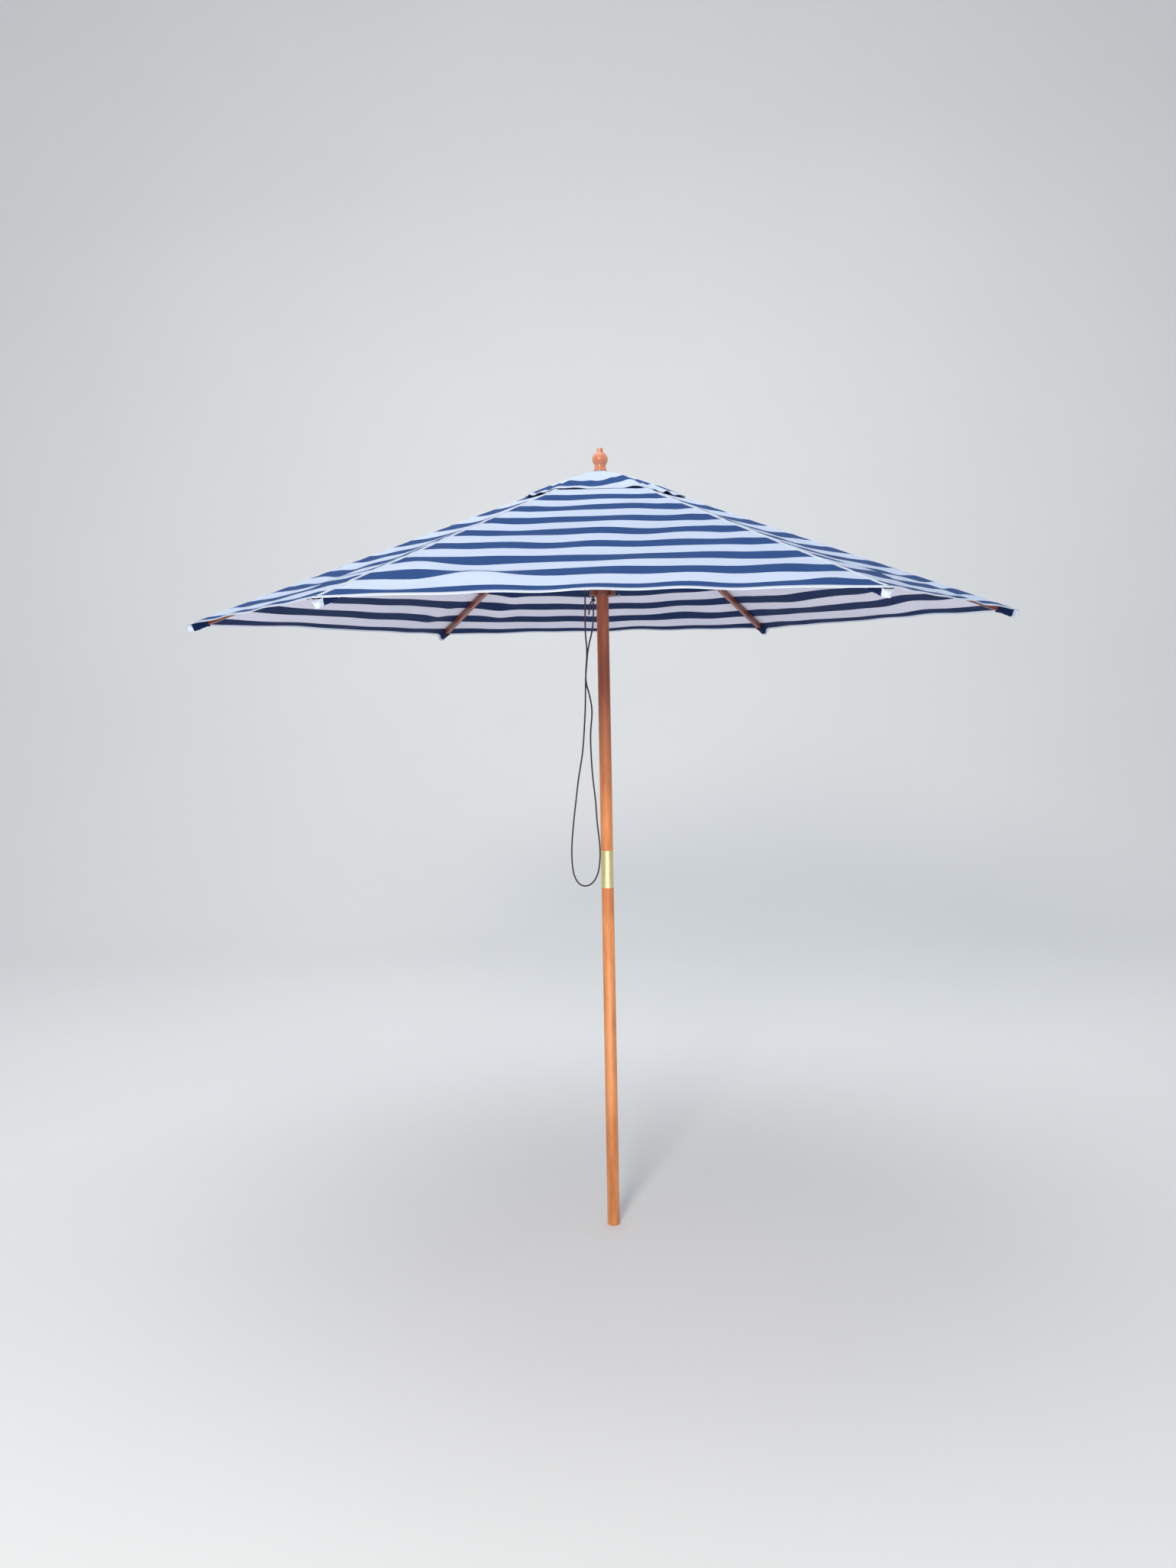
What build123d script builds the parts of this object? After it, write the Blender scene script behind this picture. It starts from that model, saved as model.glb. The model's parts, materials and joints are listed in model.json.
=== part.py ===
"""Hexagonal beach umbrella with a two-piece wooden pole, a pulley lift cord and a vented canopy.

Origin at the centre of the pole's foot, +Z up the pole, one rib along +X. Millimetres.
The umbrella is open: the runner rests on the hold-open pin.
"""
from build123d import *
from math import atan2, cos, degrees, hypot, pi, radians, sin, tan
import os

os.makedirs("parts", exist_ok=True)

# ---------------------------------------------------------------- driving dimensions
RIB_COUNT = 6

# canopy: a six-sided pyramid of cloth
TIP_RADIUS = 1300.0
TIP_Z = 1889.0
CROWN_RADIUS = 20.0
CROWN_Z = 2345.0
CLOTH = 0.8  # measured straight down through the cloth
VENT_HOLE_RADIUS = 130.0
VENT_RADIUS = 275.0
VENT_LIFT = 18.0  # vent cap's corners stand this far above the main canopy
VENT_TOP_Z = 2347.0
VENT_TOP_RADIUS = 12.0
GORE_GAP = 0.3  # between neighbouring gores

# pole
POLE_R = 19.0
FOOT_CHAMFER = 2.0
FERRULE_BOTTOM_Z = 1049.0
FERRULE_TOP_Z = 1165.0
FERRULE_R = 19.6
TENON_R = 18.0
TENON_GAP = 2.0
FERRULE_EDGE = 0.5
FERRULE_SCREW_R = 2.0
FERRULE_SCREW_HEAD_R = 3.2
FERRULE_SCREW_HEAD = 1.0
FERRULE_SCREW_UP = 14.0  # above the ferrule's lower end
FERRULE_SCREW_AZIMUTHS = (30.0, 150.0)
FIT = 0.05  # radial clearance of a running fit
SLIDE_CLEARANCE = 0.4

# ribs and struts
RIB_WIDTH = 15.0
RIB_DEPTH = 20.0
RIB_CHAMFER = 1.2
RIB_END_RADIUS = 1290.0  # how far the rib's end stands from the pole's axis
CLOTH_CLEARANCE = 0.4
STRUT_WIDTH = 12.0
STRUT_DEPTH = 16.0
STRUT_CHAMFER = 1.0
PIVOT_R = 36.0  # pivots of ribs and struts stand this far from the pole's axis
BRACKET_ALONG = 443.0  # from the rib's hub pivot, along the rib
BRACKET_DROP = 14.0  # pivot below the rib's underside
BRACKET_SHEET = 1.3
BRACKET_LENGTH = 46.0
BRACKET_EAR_HALF = 13.0  # half of an ear's root, along the rib
BRACKET_EAR_R = 6.5  # round the rivet
HINGE_PIN_R = 1.75
HINGE_PIN_LENGTH = 30.0
RIVET_R = 2.5
RIVET_HEAD_R = 4.2
RIVET_HEAD = 1.2
SIDE_CLEARANCE = 0.3

# hub and runner
HUB_R = 41.0
HUB_BOTTOM_Z = 2304.0
HUB_SHOULDER_Z = 2335.0
HUB_TOP_Z = 2342.0
HUB_TOP_R = 18.0
HUB_CHAMFER = 1.5
POLE_TOP_Z = 2322.0
RUNNER_R = 41.0
RUNNER_BOTTOM_Z = 1959.0
RUNNER_HEIGHT = 41.0
RUNNER_EDGE = 2.5

# pulley: its plane stands between two ribs
PULLEY_AZIMUTH = 30.0
PULLEY_Z = 2262.0
PULLEY_GROOVE_R = 25.5  # the cord's centre line on the wheel
PULLEY_R = 27.0
PULLEY_WIDTH = 9.0
PULLEY_SLOT_WIDTH = 10.0
PULLEY_SLOT_HEIGHT = 62.0
AXLE_R = 2.5

# hold-open pin
PIN_AZIMUTH = -30.0
PIN_R = 3.0
PIN_BACK = 50.0
PIN_FRONT = 58.0
PIN_HEAD_R = 4.6
PIN_HEAD = 5.0
PIN_HEAD_EDGE = 1.5
PIN_POINT = 0.8
PIN_BELOW_RUNNER = 0.5

# finial
FINIAL_Z = 2347.5
FINIAL_FOOT_R = 20.75
FINIAL_WAIST_R = 17.3
FINIAL_WAIST_Z = 2366.5
FINIAL_BALL_R = 24.3
FINIAL_NECK_R = 9.5
FINIAL_TOP_Z = 2419.0
FINIAL_FOOT = 3.0
FINIAL_FLARE = (18.4, FINIAL_Z + 9.0)  # radius and height half way up the flare
FINIAL_EDGE = 1.5
STUD_R = 4.0
STUD_DEPTH = 18.0  # into the pole
STUD_HEIGHT = 26.0  # into the finial

# lift cord
CORD_R = 2.5
CORD_HOLE_R = 3.4
KNOT_R = 7.5
KNOT_RADIUS = 33.0  # from the pole's axis
KNOT_Z = 1945.0
KNOT_FLAT = 1.0  # cut off the knot's lower end, where the loop goes in
CORD_IN_RUNNER = 12.0  # how far the upper cord goes down into the runner

# ---------------------------------------------------------------- worked out
canopy_slope = atan2(CROWN_Z - TIP_Z, TIP_RADIUS - CROWN_RADIUS)
panel_fall = tan(canopy_slope) / cos(pi / RIB_COUNT) * sin(pi / RIB_COUNT)  # off the ridge, per mm
rib_drop = (RIB_DEPTH / 2 + CLOTH_CLEARANCE) / cos(canopy_slope) + panel_fall * RIB_WIDTH / 2 + CLOTH
hub_pivot_z = CROWN_Z - (PIVOT_R - CROWN_RADIUS) * tan(canopy_slope) - rib_drop
rib_length = (RIB_END_RADIUS - PIVOT_R) / cos(canopy_slope) - RIB_DEPTH / 2

# the strut is as long as the line from hub pivot to strut pivot, so runner and hub pivots
# stay in line above each other through the whole fold
bracket_below = RIB_DEPTH / 2 + BRACKET_DROP
strut_length = hypot(BRACKET_ALONG, bracket_below)
strut_slope = canopy_slope + atan2(bracket_below, BRACKET_ALONG)
runner_pivot_z = hub_pivot_z - 2 * strut_length * sin(strut_slope)
runner_top_z = RUNNER_BOTTOM_Z + RUNNER_HEIGHT

azimuths = [360.0 / RIB_COUNT * n for n in range(RIB_COUNT)]


def radial(azimuth, radius, z):
    """A point at an azimuth in degrees, a radius from the pole's axis and a height."""
    return (radius * cos(radians(azimuth)), radius * sin(radians(azimuth)), z)


def upright_plane(azimuth):
    """The upright plane through the pole's axis: local x runs outward, local y up."""
    side = radial(azimuth - 90, 1, 0)
    return Plane(origin=(0, 0, 0), x_dir=radial(azimuth, 1, 0), z_dir=side)


def bar_plane(azimuth, radius, z, slope):
    """A plane at a bar's inner pivot: local x runs out along the bar, local y across its depth."""
    along = radial(azimuth, cos(slope), sin(slope))
    return Plane(origin=radial(azimuth, radius, z), x_dir=along, z_dir=radial(azimuth - 90, 1, 0))


def save(builder, label):
    """Label a finished piece and write its STEP file."""
    builder.part.label = label
    export_step(builder.part, f"parts/{label}.step")


def long_edges(part, shortest):
    """The straight edges of a part that are longer than a length."""
    return part.edges().filter_by(GeomType.LINE).filter_by(lambda edge: edge.length > shortest)


# ---------------------------------------------------------------- poles and ferrule
tenon_middle_z = (FERRULE_BOTTOM_Z + FERRULE_TOP_Z) / 2

with BuildPart() as lower_pole:
    with BuildSketch():
        Circle(POLE_R)
    extrude(amount=FERRULE_BOTTOM_Z)
    chamfer(lower_pole.faces().sort_by(Axis.Z)[0].edges(), length=FOOT_CHAMFER)
    with BuildSketch(Plane.XY.offset(FERRULE_BOTTOM_Z)):
        Circle(TENON_R)
    extrude(amount=tenon_middle_z - TENON_GAP / 2 - FERRULE_BOTTOM_Z)
save(lower_pole, "lower_pole")

pulley_slot_plane = Plane(
    origin=(0, 0, PULLEY_Z),
    x_dir=radial(PULLEY_AZIMUTH, 1, 0),
    z_dir=radial(PULLEY_AZIMUTH - 90, 1, 0),
)
pin_plane = Plane(
    origin=(0, 0, RUNNER_BOTTOM_Z - PIN_R - PIN_BELOW_RUNNER),
    x_dir=(0, 0, 1),
    z_dir=radial(PIN_AZIMUTH, 1, 0),
)

with BuildPart() as upper_pole:
    with BuildSketch(Plane.XY.offset(tenon_middle_z + TENON_GAP / 2)):
        Circle(TENON_R)
    extrude(amount=FERRULE_TOP_Z - tenon_middle_z - TENON_GAP / 2)
    with BuildSketch(Plane.XY.offset(FERRULE_TOP_Z)):
        Circle(POLE_R)
    extrude(amount=POLE_TOP_Z - FERRULE_TOP_Z)
    with BuildSketch(pulley_slot_plane):
        Rectangle(3 * POLE_R, PULLEY_SLOT_HEIGHT)
    extrude(amount=PULLEY_SLOT_WIDTH / 2, both=True, mode=Mode.SUBTRACT)
    with BuildSketch(pulley_slot_plane):
        Circle(AXLE_R)
    extrude(amount=2 * POLE_R, both=True, mode=Mode.SUBTRACT)
    with BuildSketch(pin_plane):
        Circle(PIN_R + FIT)
    extrude(amount=2 * POLE_R, both=True, mode=Mode.SUBTRACT)
    stud_bottom_z = POLE_TOP_Z - STUD_DEPTH
    with BuildSketch(Plane.XY.offset(stud_bottom_z)):
        Circle(STUD_R)
    extrude(amount=POLE_TOP_Z - stud_bottom_z, mode=Mode.SUBTRACT)
save(upper_pole, "upper_pole")

ferrule_screw_z = FERRULE_BOTTOM_Z + FERRULE_SCREW_UP


def screw_plane(azimuth, radius):
    """A plane across a ferrule screw, at a distance from the pole's axis."""
    return Plane(
        origin=radial(azimuth, radius, ferrule_screw_z), x_dir=(0, 0, 1), z_dir=radial(azimuth, 1, 0)
    )


with BuildPart() as ferrule:
    with BuildSketch(Plane.XY.offset(FERRULE_BOTTOM_Z)):
        Circle(FERRULE_R)
        Circle(TENON_R + FIT, mode=Mode.SUBTRACT)
    extrude(amount=FERRULE_TOP_Z - FERRULE_BOTTOM_Z)
    outer_rims = ferrule.edges().filter_by(GeomType.CIRCLE).group_by(SortBy.RADIUS)[-1]
    chamfer(outer_rims, length=FERRULE_EDGE)
    for azimuth in FERRULE_SCREW_AZIMUTHS:
        with BuildSketch(screw_plane(azimuth, 0)):
            Circle(FERRULE_SCREW_R + FIT)
        extrude(amount=2 * FERRULE_R, mode=Mode.SUBTRACT)
save(ferrule, "ferrule")

with BuildPart() as ferrule_screws:
    for azimuth in FERRULE_SCREW_AZIMUTHS:
        with BuildSketch(screw_plane(azimuth, TENON_R + FIT)):
            Circle(FERRULE_SCREW_R)
        extrude(amount=FERRULE_R - TENON_R)
        with BuildSketch(screw_plane(azimuth, FERRULE_R + FIT)):
            Circle(FERRULE_SCREW_HEAD_R)
        extrude(amount=FERRULE_SCREW_HEAD, taper=25)
save(ferrule_screws, "ferrule_screws")

# ---------------------------------------------------------------- crown hub and finial
RIB_SLOT_INNER = PIVOT_R - RIB_DEPTH / 2 - 0.5
HUB_SLOT_OUTER = HUB_R + 5.0

with BuildPart() as crown_hub:
    with BuildSketch(Plane.XZ) as hub_profile:
        with BuildLine():
            Polyline(
                (0, HUB_BOTTOM_Z),
                (HUB_R, HUB_BOTTOM_Z),
                (HUB_R, HUB_SHOULDER_Z),
                (HUB_TOP_R, HUB_TOP_Z),
                (0, HUB_TOP_Z),
                close=True,
            )
        make_face()
    revolve(axis=Axis.Z)
    chamfer(crown_hub.faces().sort_by(Axis.Z)[0].edges(), length=HUB_CHAMFER)
    with BuildSketch(Plane.XY.offset(HUB_BOTTOM_Z)):
        Circle(POLE_R)
    extrude(amount=POLE_TOP_Z - HUB_BOTTOM_Z, mode=Mode.SUBTRACT)
    with BuildSketch(Plane.XY.offset(HUB_BOTTOM_Z)):
        with PolarLocations((RIB_SLOT_INNER + HUB_SLOT_OUTER) / 2, RIB_COUNT):
            Rectangle(HUB_SLOT_OUTER - RIB_SLOT_INNER, RIB_WIDTH + 2 * SIDE_CLEARANCE)
    extrude(amount=HUB_TOP_Z - HUB_BOTTOM_Z, mode=Mode.SUBTRACT)
    with Locations((0, 0, hub_pivot_z)):
        with PolarLocations(PIVOT_R, RIB_COUNT):
            Cylinder(HINGE_PIN_R, HINGE_PIN_LENGTH, rotation=(90, 0, 0), mode=Mode.SUBTRACT)
    with BuildSketch(Plane.XY.offset(POLE_TOP_Z)):
        Circle(STUD_R)
    extrude(amount=HUB_TOP_Z - POLE_TOP_Z, mode=Mode.SUBTRACT)
save(crown_hub, "crown_hub")

with BuildPart() as hub_pins:
    with Locations((0, 0, hub_pivot_z)):
        with PolarLocations(PIVOT_R, RIB_COUNT):
            Cylinder(HINGE_PIN_R, HINGE_PIN_LENGTH, rotation=(90, 0, 0))
save(hub_pins, "hub_pins")

ball_centre_z = FINIAL_WAIST_Z + (FINIAL_BALL_R**2 - FINIAL_WAIST_R**2) ** 0.5
neck_bottom_z = ball_centre_z + (FINIAL_BALL_R**2 - FINIAL_NECK_R**2) ** 0.5
stud_top_z = FINIAL_Z + STUD_HEIGHT

with BuildPart() as finial:
    with BuildSketch(Plane.XZ):
        with BuildLine():
            foot = Polyline(
                (0, FINIAL_Z), (FINIAL_FOOT_R, FINIAL_Z), (FINIAL_FOOT_R, FINIAL_Z + FINIAL_FOOT)
            )
            flare = ThreePointArc(foot @ 1, FINIAL_FLARE, (FINIAL_WAIST_R, FINIAL_WAIST_Z))
            ball = ThreePointArc(
                flare @ 1, (FINIAL_BALL_R, ball_centre_z), (FINIAL_NECK_R, neck_bottom_z)
            )
            Polyline(
                ball @ 1,
                (FINIAL_NECK_R, FINIAL_TOP_Z - FINIAL_EDGE),
                (FINIAL_NECK_R - FINIAL_EDGE, FINIAL_TOP_Z),
                (0, FINIAL_TOP_Z),
                (0, FINIAL_Z),
            )
        make_face()
    revolve(axis=Axis.Z)
    with BuildSketch(Plane.XY.offset(FINIAL_Z)):
        Circle(STUD_R)
    extrude(amount=stud_top_z - FINIAL_Z, mode=Mode.SUBTRACT)
save(finial, "finial")

with BuildPart() as finial_stud:
    with BuildSketch(Plane.XY.offset(stud_bottom_z)):
        Circle(STUD_R)
    extrude(amount=stud_top_z - stud_bottom_z)
save(finial_stud, "finial_stud")

with BuildPart() as finial_washer:
    with BuildSketch(Plane.XY.offset(HUB_TOP_Z)):
        Circle(VENT_TOP_RADIUS - 2)
        Circle(STUD_R, mode=Mode.SUBTRACT)
    extrude(amount=FINIAL_Z - HUB_TOP_Z)
save(finial_washer, "finial_washer")

# ---------------------------------------------------------------- pulley
with BuildPart(pulley_slot_plane) as pulley_wheel:
    Cylinder(PULLEY_R, PULLEY_WIDTH)
    Torus(PULLEY_GROOVE_R, CORD_R + 0.5, mode=Mode.SUBTRACT)
    Cylinder(AXLE_R + FIT, PULLEY_WIDTH, mode=Mode.SUBTRACT)
save(pulley_wheel, "pulley_wheel")

with BuildPart(pulley_slot_plane) as pulley_axle:
    Cylinder(AXLE_R, 2 * POLE_R - 2)
save(pulley_axle, "pulley_axle")

# ---------------------------------------------------------------- runner and hold-open pin
STRUT_SLOT_INNER = PIVOT_R - STRUT_DEPTH / 2 - 1.0

with BuildPart() as runner:
    with BuildSketch(Plane.XY.offset(RUNNER_BOTTOM_Z)):
        Circle(RUNNER_R)
        Circle(POLE_R + SLIDE_CLEARANCE, mode=Mode.SUBTRACT)
    extrude(amount=RUNNER_HEIGHT)
    runner_rims = runner.edges().filter_by(GeomType.CIRCLE).group_by(SortBy.RADIUS)[-1]
    fillet(runner_rims, radius=RUNNER_EDGE)
    with BuildSketch(Plane.XY.offset(RUNNER_BOTTOM_Z)):
        with PolarLocations((STRUT_SLOT_INNER + RUNNER_R + 5) / 2, RIB_COUNT):
            Rectangle(RUNNER_R + 5 - STRUT_SLOT_INNER, STRUT_WIDTH + 2 * SIDE_CLEARANCE)
    extrude(amount=RUNNER_HEIGHT, mode=Mode.SUBTRACT)
    with Locations((0, 0, runner_pivot_z)):
        with PolarLocations(PIVOT_R, RIB_COUNT):
            Cylinder(HINGE_PIN_R, HINGE_PIN_LENGTH, rotation=(90, 0, 0), mode=Mode.SUBTRACT)
    with BuildSketch(Plane.XY.offset(RUNNER_BOTTOM_Z)):
        for azimuth in (PULLEY_AZIMUTH, PULLEY_AZIMUTH + 180):
            with Locations(radial(azimuth, KNOT_RADIUS, 0)):
                Circle(CORD_HOLE_R)
    extrude(amount=RUNNER_HEIGHT, mode=Mode.SUBTRACT)
save(runner, "runner")

with BuildPart() as runner_pins:
    with Locations((0, 0, runner_pivot_z)):
        with PolarLocations(PIVOT_R, RIB_COUNT):
            Cylinder(HINGE_PIN_R, HINGE_PIN_LENGTH, rotation=(90, 0, 0))
save(runner_pins, "runner_pins")

with BuildPart() as hold_open_pin:
    with BuildSketch(pin_plane.offset(-PIN_BACK)):
        Circle(PIN_R)
    extrude(amount=PIN_BACK + PIN_FRONT)
    pin_axis = Axis(origin=(0, 0, 0), direction=radial(PIN_AZIMUTH, 1, 0))
    chamfer(hold_open_pin.edges().sort_by(pin_axis)[0], length=PIN_POINT)
    with BuildSketch(pin_plane.offset(PIN_FRONT)):
        Circle(PIN_HEAD_R)
    extrude(amount=PIN_HEAD)
    head_rims = hold_open_pin.edges().filter_by(GeomType.CIRCLE).group_by(SortBy.RADIUS)[-1]
    fillet(head_rims, radius=PIN_HEAD_EDGE)
save(hold_open_pin, "hold_open_pin")

# ---------------------------------------------------------------- ribs, struts and their brackets
POCKET_LENGTH = 62.0
POCKET_WALL = 2.0
POCKET_SIDE = 0.8
POCKET_BELOW_CLOTH = 0.5
rib_end = rib_length + RIB_DEPTH / 2
ear_inner = STRUT_WIDTH / 2 + SIDE_CLEARANCE
ear_outer = ear_inner + BRACKET_SHEET
bracket_y = -RIB_DEPTH / 2

for number, azimuth in enumerate(azimuths, start=1):
    along_rib = bar_plane(azimuth, PIVOT_R, hub_pivot_z, -canopy_slope)
    along_strut = bar_plane(azimuth, PIVOT_R, runner_pivot_z, strut_slope)

    with BuildPart() as rib:
        with BuildSketch(along_rib):
            with Locations((rib_length / 2, 0)):
                SlotCenterToCenter(rib_length, RIB_DEPTH)
            Circle(HINGE_PIN_R + FIT, mode=Mode.SUBTRACT)
        extrude(amount=RIB_WIDTH / 2, both=True)
        chamfer(long_edges(rib, rib_length / 2), length=RIB_CHAMFER)
    save(rib, f"rib_{number}")

    with BuildPart() as bracket:
        with BuildSketch(along_rib):
            with Locations((BRACKET_ALONG, bracket_y - BRACKET_SHEET / 2)):
                Rectangle(BRACKET_LENGTH, BRACKET_SHEET)
        extrude(amount=ear_outer, both=True)
        for side in (-1, 1):
            with BuildSketch(along_rib.offset(side * (ear_inner + ear_outer) / 2)):
                with BuildLine():
                    top = bracket_y - BRACKET_SHEET / 2
                    Polyline(
                        (BRACKET_ALONG - BRACKET_EAR_HALF, top),
                        (BRACKET_ALONG + BRACKET_EAR_HALF, top),
                        (BRACKET_ALONG + BRACKET_EAR_R, -bracket_below),
                        (BRACKET_ALONG - BRACKET_EAR_R, -bracket_below),
                        close=True,
                    )
                make_face()
                with Locations((BRACKET_ALONG, -bracket_below)):
                    Circle(BRACKET_EAR_R)
                    Circle(RIVET_R, mode=Mode.SUBTRACT)
            extrude(amount=BRACKET_SHEET / 2, both=True)
    save(bracket, f"rib_bracket_{number}")

    with BuildPart() as rivet:
        with BuildSketch(along_rib):
            with Locations((BRACKET_ALONG, -bracket_below)):
                Circle(RIVET_R)
        extrude(amount=ear_outer, both=True)
        for side in (-1, 1):
            with BuildSketch(along_rib.offset(side * (ear_outer + RIVET_HEAD / 2))):
                with Locations((BRACKET_ALONG, -bracket_below)):
                    Circle(RIVET_HEAD_R)
            extrude(amount=RIVET_HEAD / 2, both=True)
    save(rivet, f"strut_rivet_{number}")

    with BuildPart() as strut:
        with BuildSketch(along_strut):
            with Locations((strut_length / 2, 0)):
                SlotCenterToCenter(strut_length, STRUT_DEPTH)
            Circle(HINGE_PIN_R + FIT, mode=Mode.SUBTRACT)
            with Locations((strut_length, 0)):
                Circle(RIVET_R + FIT, mode=Mode.SUBTRACT)
        extrude(amount=STRUT_WIDTH / 2, both=True)
        chamfer(long_edges(strut, strut_length / 2), length=STRUT_CHAMFER)
    save(strut, f"strut_{number}")

    pocket_top = RIB_DEPTH / 2 - POCKET_BELOW_CLOTH
    pocket_bottom = -RIB_DEPTH / 2 - POCKET_WALL - POCKET_SIDE
    pocket_from = rib_end - POCKET_LENGTH
    pocket_to = rib_end + POCKET_WALL + POCKET_SIDE
    with BuildPart() as pocket:
        with BuildSketch(along_rib):
            with Locations(((pocket_from + pocket_to) / 2, (pocket_top + pocket_bottom) / 2)):
                Rectangle(pocket_to - pocket_from, pocket_top - pocket_bottom)
        extrude(amount=RIB_WIDTH / 2 + POCKET_SIDE + POCKET_WALL, both=True)
        with BuildSketch(along_rib):
            hollow_to = pocket_to - POCKET_WALL
            hollow_bottom = pocket_bottom + POCKET_WALL
            with Locations(((pocket_from + hollow_to) / 2, (pocket_top + hollow_bottom) / 2)):
                Rectangle(hollow_to - pocket_from, pocket_top - hollow_bottom)
        extrude(amount=RIB_WIDTH / 2 + POCKET_SIDE, both=True, mode=Mode.SUBTRACT)
    save(pocket, f"tip_pocket_{number}")


# ---------------------------------------------------------------- canopy and vent cap
def cloth_pyramid(outer_radius, outer_z, inner_radius, inner_z):
    """A six-sided cone of cloth from its hem up to the hexagonal hole at its top."""
    with BuildPart() as pyramid:
        for drop, mode in ((0.0, Mode.ADD), (CLOTH, Mode.SUBTRACT)):
            with BuildSketch(Plane.XY.offset(outer_z - drop)):
                RegularPolygon(outer_radius, RIB_COUNT)
            with BuildSketch(Plane.XY.offset(inner_z - drop)):
                RegularPolygon(inner_radius, RIB_COUNT)
            loft(ruled=True, mode=mode)
        with BuildSketch(Plane.XY.offset(inner_z - 2 * CLOTH)):
            RegularPolygon(inner_radius, RIB_COUNT)
        extrude(amount=4 * CLOTH, mode=Mode.SUBTRACT)
    return pyramid.part


def cut_gores(cloth, name):
    """One gore for each rib, from the middle of one panel to the middle of the next."""
    half = 180.0 / RIB_COUNT
    reach = 2 * TIP_RADIUS
    for number, azimuth in enumerate(azimuths, start=1):
        with BuildPart() as gore:
            add(cloth)
            with BuildSketch(Plane.XY.offset(TIP_Z - 100)):
                with BuildLine():
                    Polyline(
                        radial(azimuth, GORE_GAP / 2 / sin(radians(half)), 0),
                        radial(azimuth - half, reach, 0),
                        radial(azimuth + half, reach, 0),
                        close=True,
                    )
                make_face()
            extrude(amount=VENT_TOP_Z - TIP_Z + 200, mode=Mode.INTERSECT)
        save(gore, f"{name}_{number}")


def canopy_z(radius):
    """Height of the canopy's ridge over a rib."""
    return CROWN_Z - (radius - CROWN_RADIUS) * tan(canopy_slope)


main_cloth = cloth_pyramid(TIP_RADIUS, TIP_Z, VENT_HOLE_RADIUS, canopy_z(VENT_HOLE_RADIUS))
cut_gores(main_cloth, "canopy_gore")

vent_cloth = cloth_pyramid(VENT_RADIUS, canopy_z(VENT_RADIUS) + VENT_LIFT, VENT_TOP_RADIUS, VENT_TOP_Z)
cut_gores(vent_cloth, "vent_gore")

# ---------------------------------------------------------------- lift cord
# In the cord's hanging loop, the first strand comes down beside the runner and the last
# one goes back up to the knot under it. (x, y, z)
FALL_RADIUS = 62.0
loop_start = radial(PULLEY_AZIMUTH + 180, FALL_RADIUS, RUNNER_BOTTOM_Z + 3)
knot_centre = radial(PULLEY_AZIMUTH + 180, KNOT_RADIUS, KNOT_Z)
loop_points = [
    loop_start,
    (-54.5, -32, 1905),
    (-55.5, -33, 1842),
    (-50, -34, 1783),
    (-56, -35, 1722),
    (-57.5, -35.5, 1664),
    (-59.5, -35, 1602),
    (-64, -36, 1536),
    (-70, -36, 1468),
    (-84, -36, 1395),
    (-93, -35, 1325),
    (-102, -35, 1255),
    (-109, -34, 1186),
    (-109, -34, 1128),
    (-102, -34, 1086),
    (-83, -34.5, 1060),
    (-54, -35, 1060),
    (-32, -36, 1086),
    (-22, -37, 1130),
    (-21, -38, 1186),
    (-29, -38, 1252),
    (-32, -37, 1322),
    (-40, -35, 1392),
    (-44, -33, 1462),
    (-45, -31, 1535),
    (-37, -29, 1600),
    (-45, -28.5, 1650),
    (-58, -27, 1694),
    (-53, -26, 1744),
    (-47.5, -25, 1797),
    (-33, -19.5, 1850),
    (knot_centre[0], knot_centre[1], 1897),
    (knot_centre[0], knot_centre[1], KNOT_Z - KNOT_R + KNOT_FLAT),
]
tail_start = Vector(knot_centre[0] - 4.8, knot_centre[1] - 2.2, KNOT_Z - 3)
tail_end = Vector(-43.4, -23, 1899)


def tube_radii(points):
    """For each corner of a cord's route, the largest bend its two runs allow."""
    radii = []
    places = [Vector(*point) for point in points]
    for before, corner, after in zip(places, places[1:], places[2:]):
        turn = radians((corner - before).get_angle(after - corner))
        run = min((corner - before).length, (after - corner).length)
        radii.append(0.45 * run / tan(turn / 2))
    return radii


def cord_tube(points, label):
    """A plain round tube along a cord's route. Prints its bends and its length."""
    radii = tube_radii(points)
    with BuildPart() as tube:
        with BuildLine() as route:
            FilletPolyline(*points, radius=radii)
        start = route.wires()[0]
        with BuildSketch(Plane(origin=start @ 0, z_dir=start % 0)):
            Circle(CORD_R)
        sweep(transition=Transition.ROUND)
    length = route.wires()[0].length
    section_volume = pi * CORD_R**2 * length
    print(label, "length", round(length, 1), "smallest bend", round(min(radii), 1))
    print(label, "volume against section x length", round(tube.part.volume / section_volume, 4))
    print(label, "bends", [round(radius) for radius in radii])
    return tube


loop_tube = cord_tube(loop_points, "lift_cord_loop")
save(loop_tube, "lift_cord_loop")

with BuildPart() as cord_knot:
    with Locations(knot_centre):
        Sphere(KNOT_R)
    below_face = Plane(origin=(0, 0, KNOT_Z - KNOT_R + KNOT_FLAT), z_dir=(0, 0, 1))
    split(bisect_by=below_face, keep=Keep.TOP)
    with BuildSketch(Plane(origin=knot_centre, z_dir=(0, 0, 1))):
        Circle(CORD_R)
    extrude(amount=RUNNER_BOTTOM_Z + RUNNER_HEIGHT / 2 - KNOT_Z)
    tail_run = tail_end - tail_start
    with BuildSketch(Plane(origin=tail_start, z_dir=tail_run)):
        Circle(CORD_R)
    extrude(amount=tail_run.length)
save(cord_knot, "cord_knot")

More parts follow.
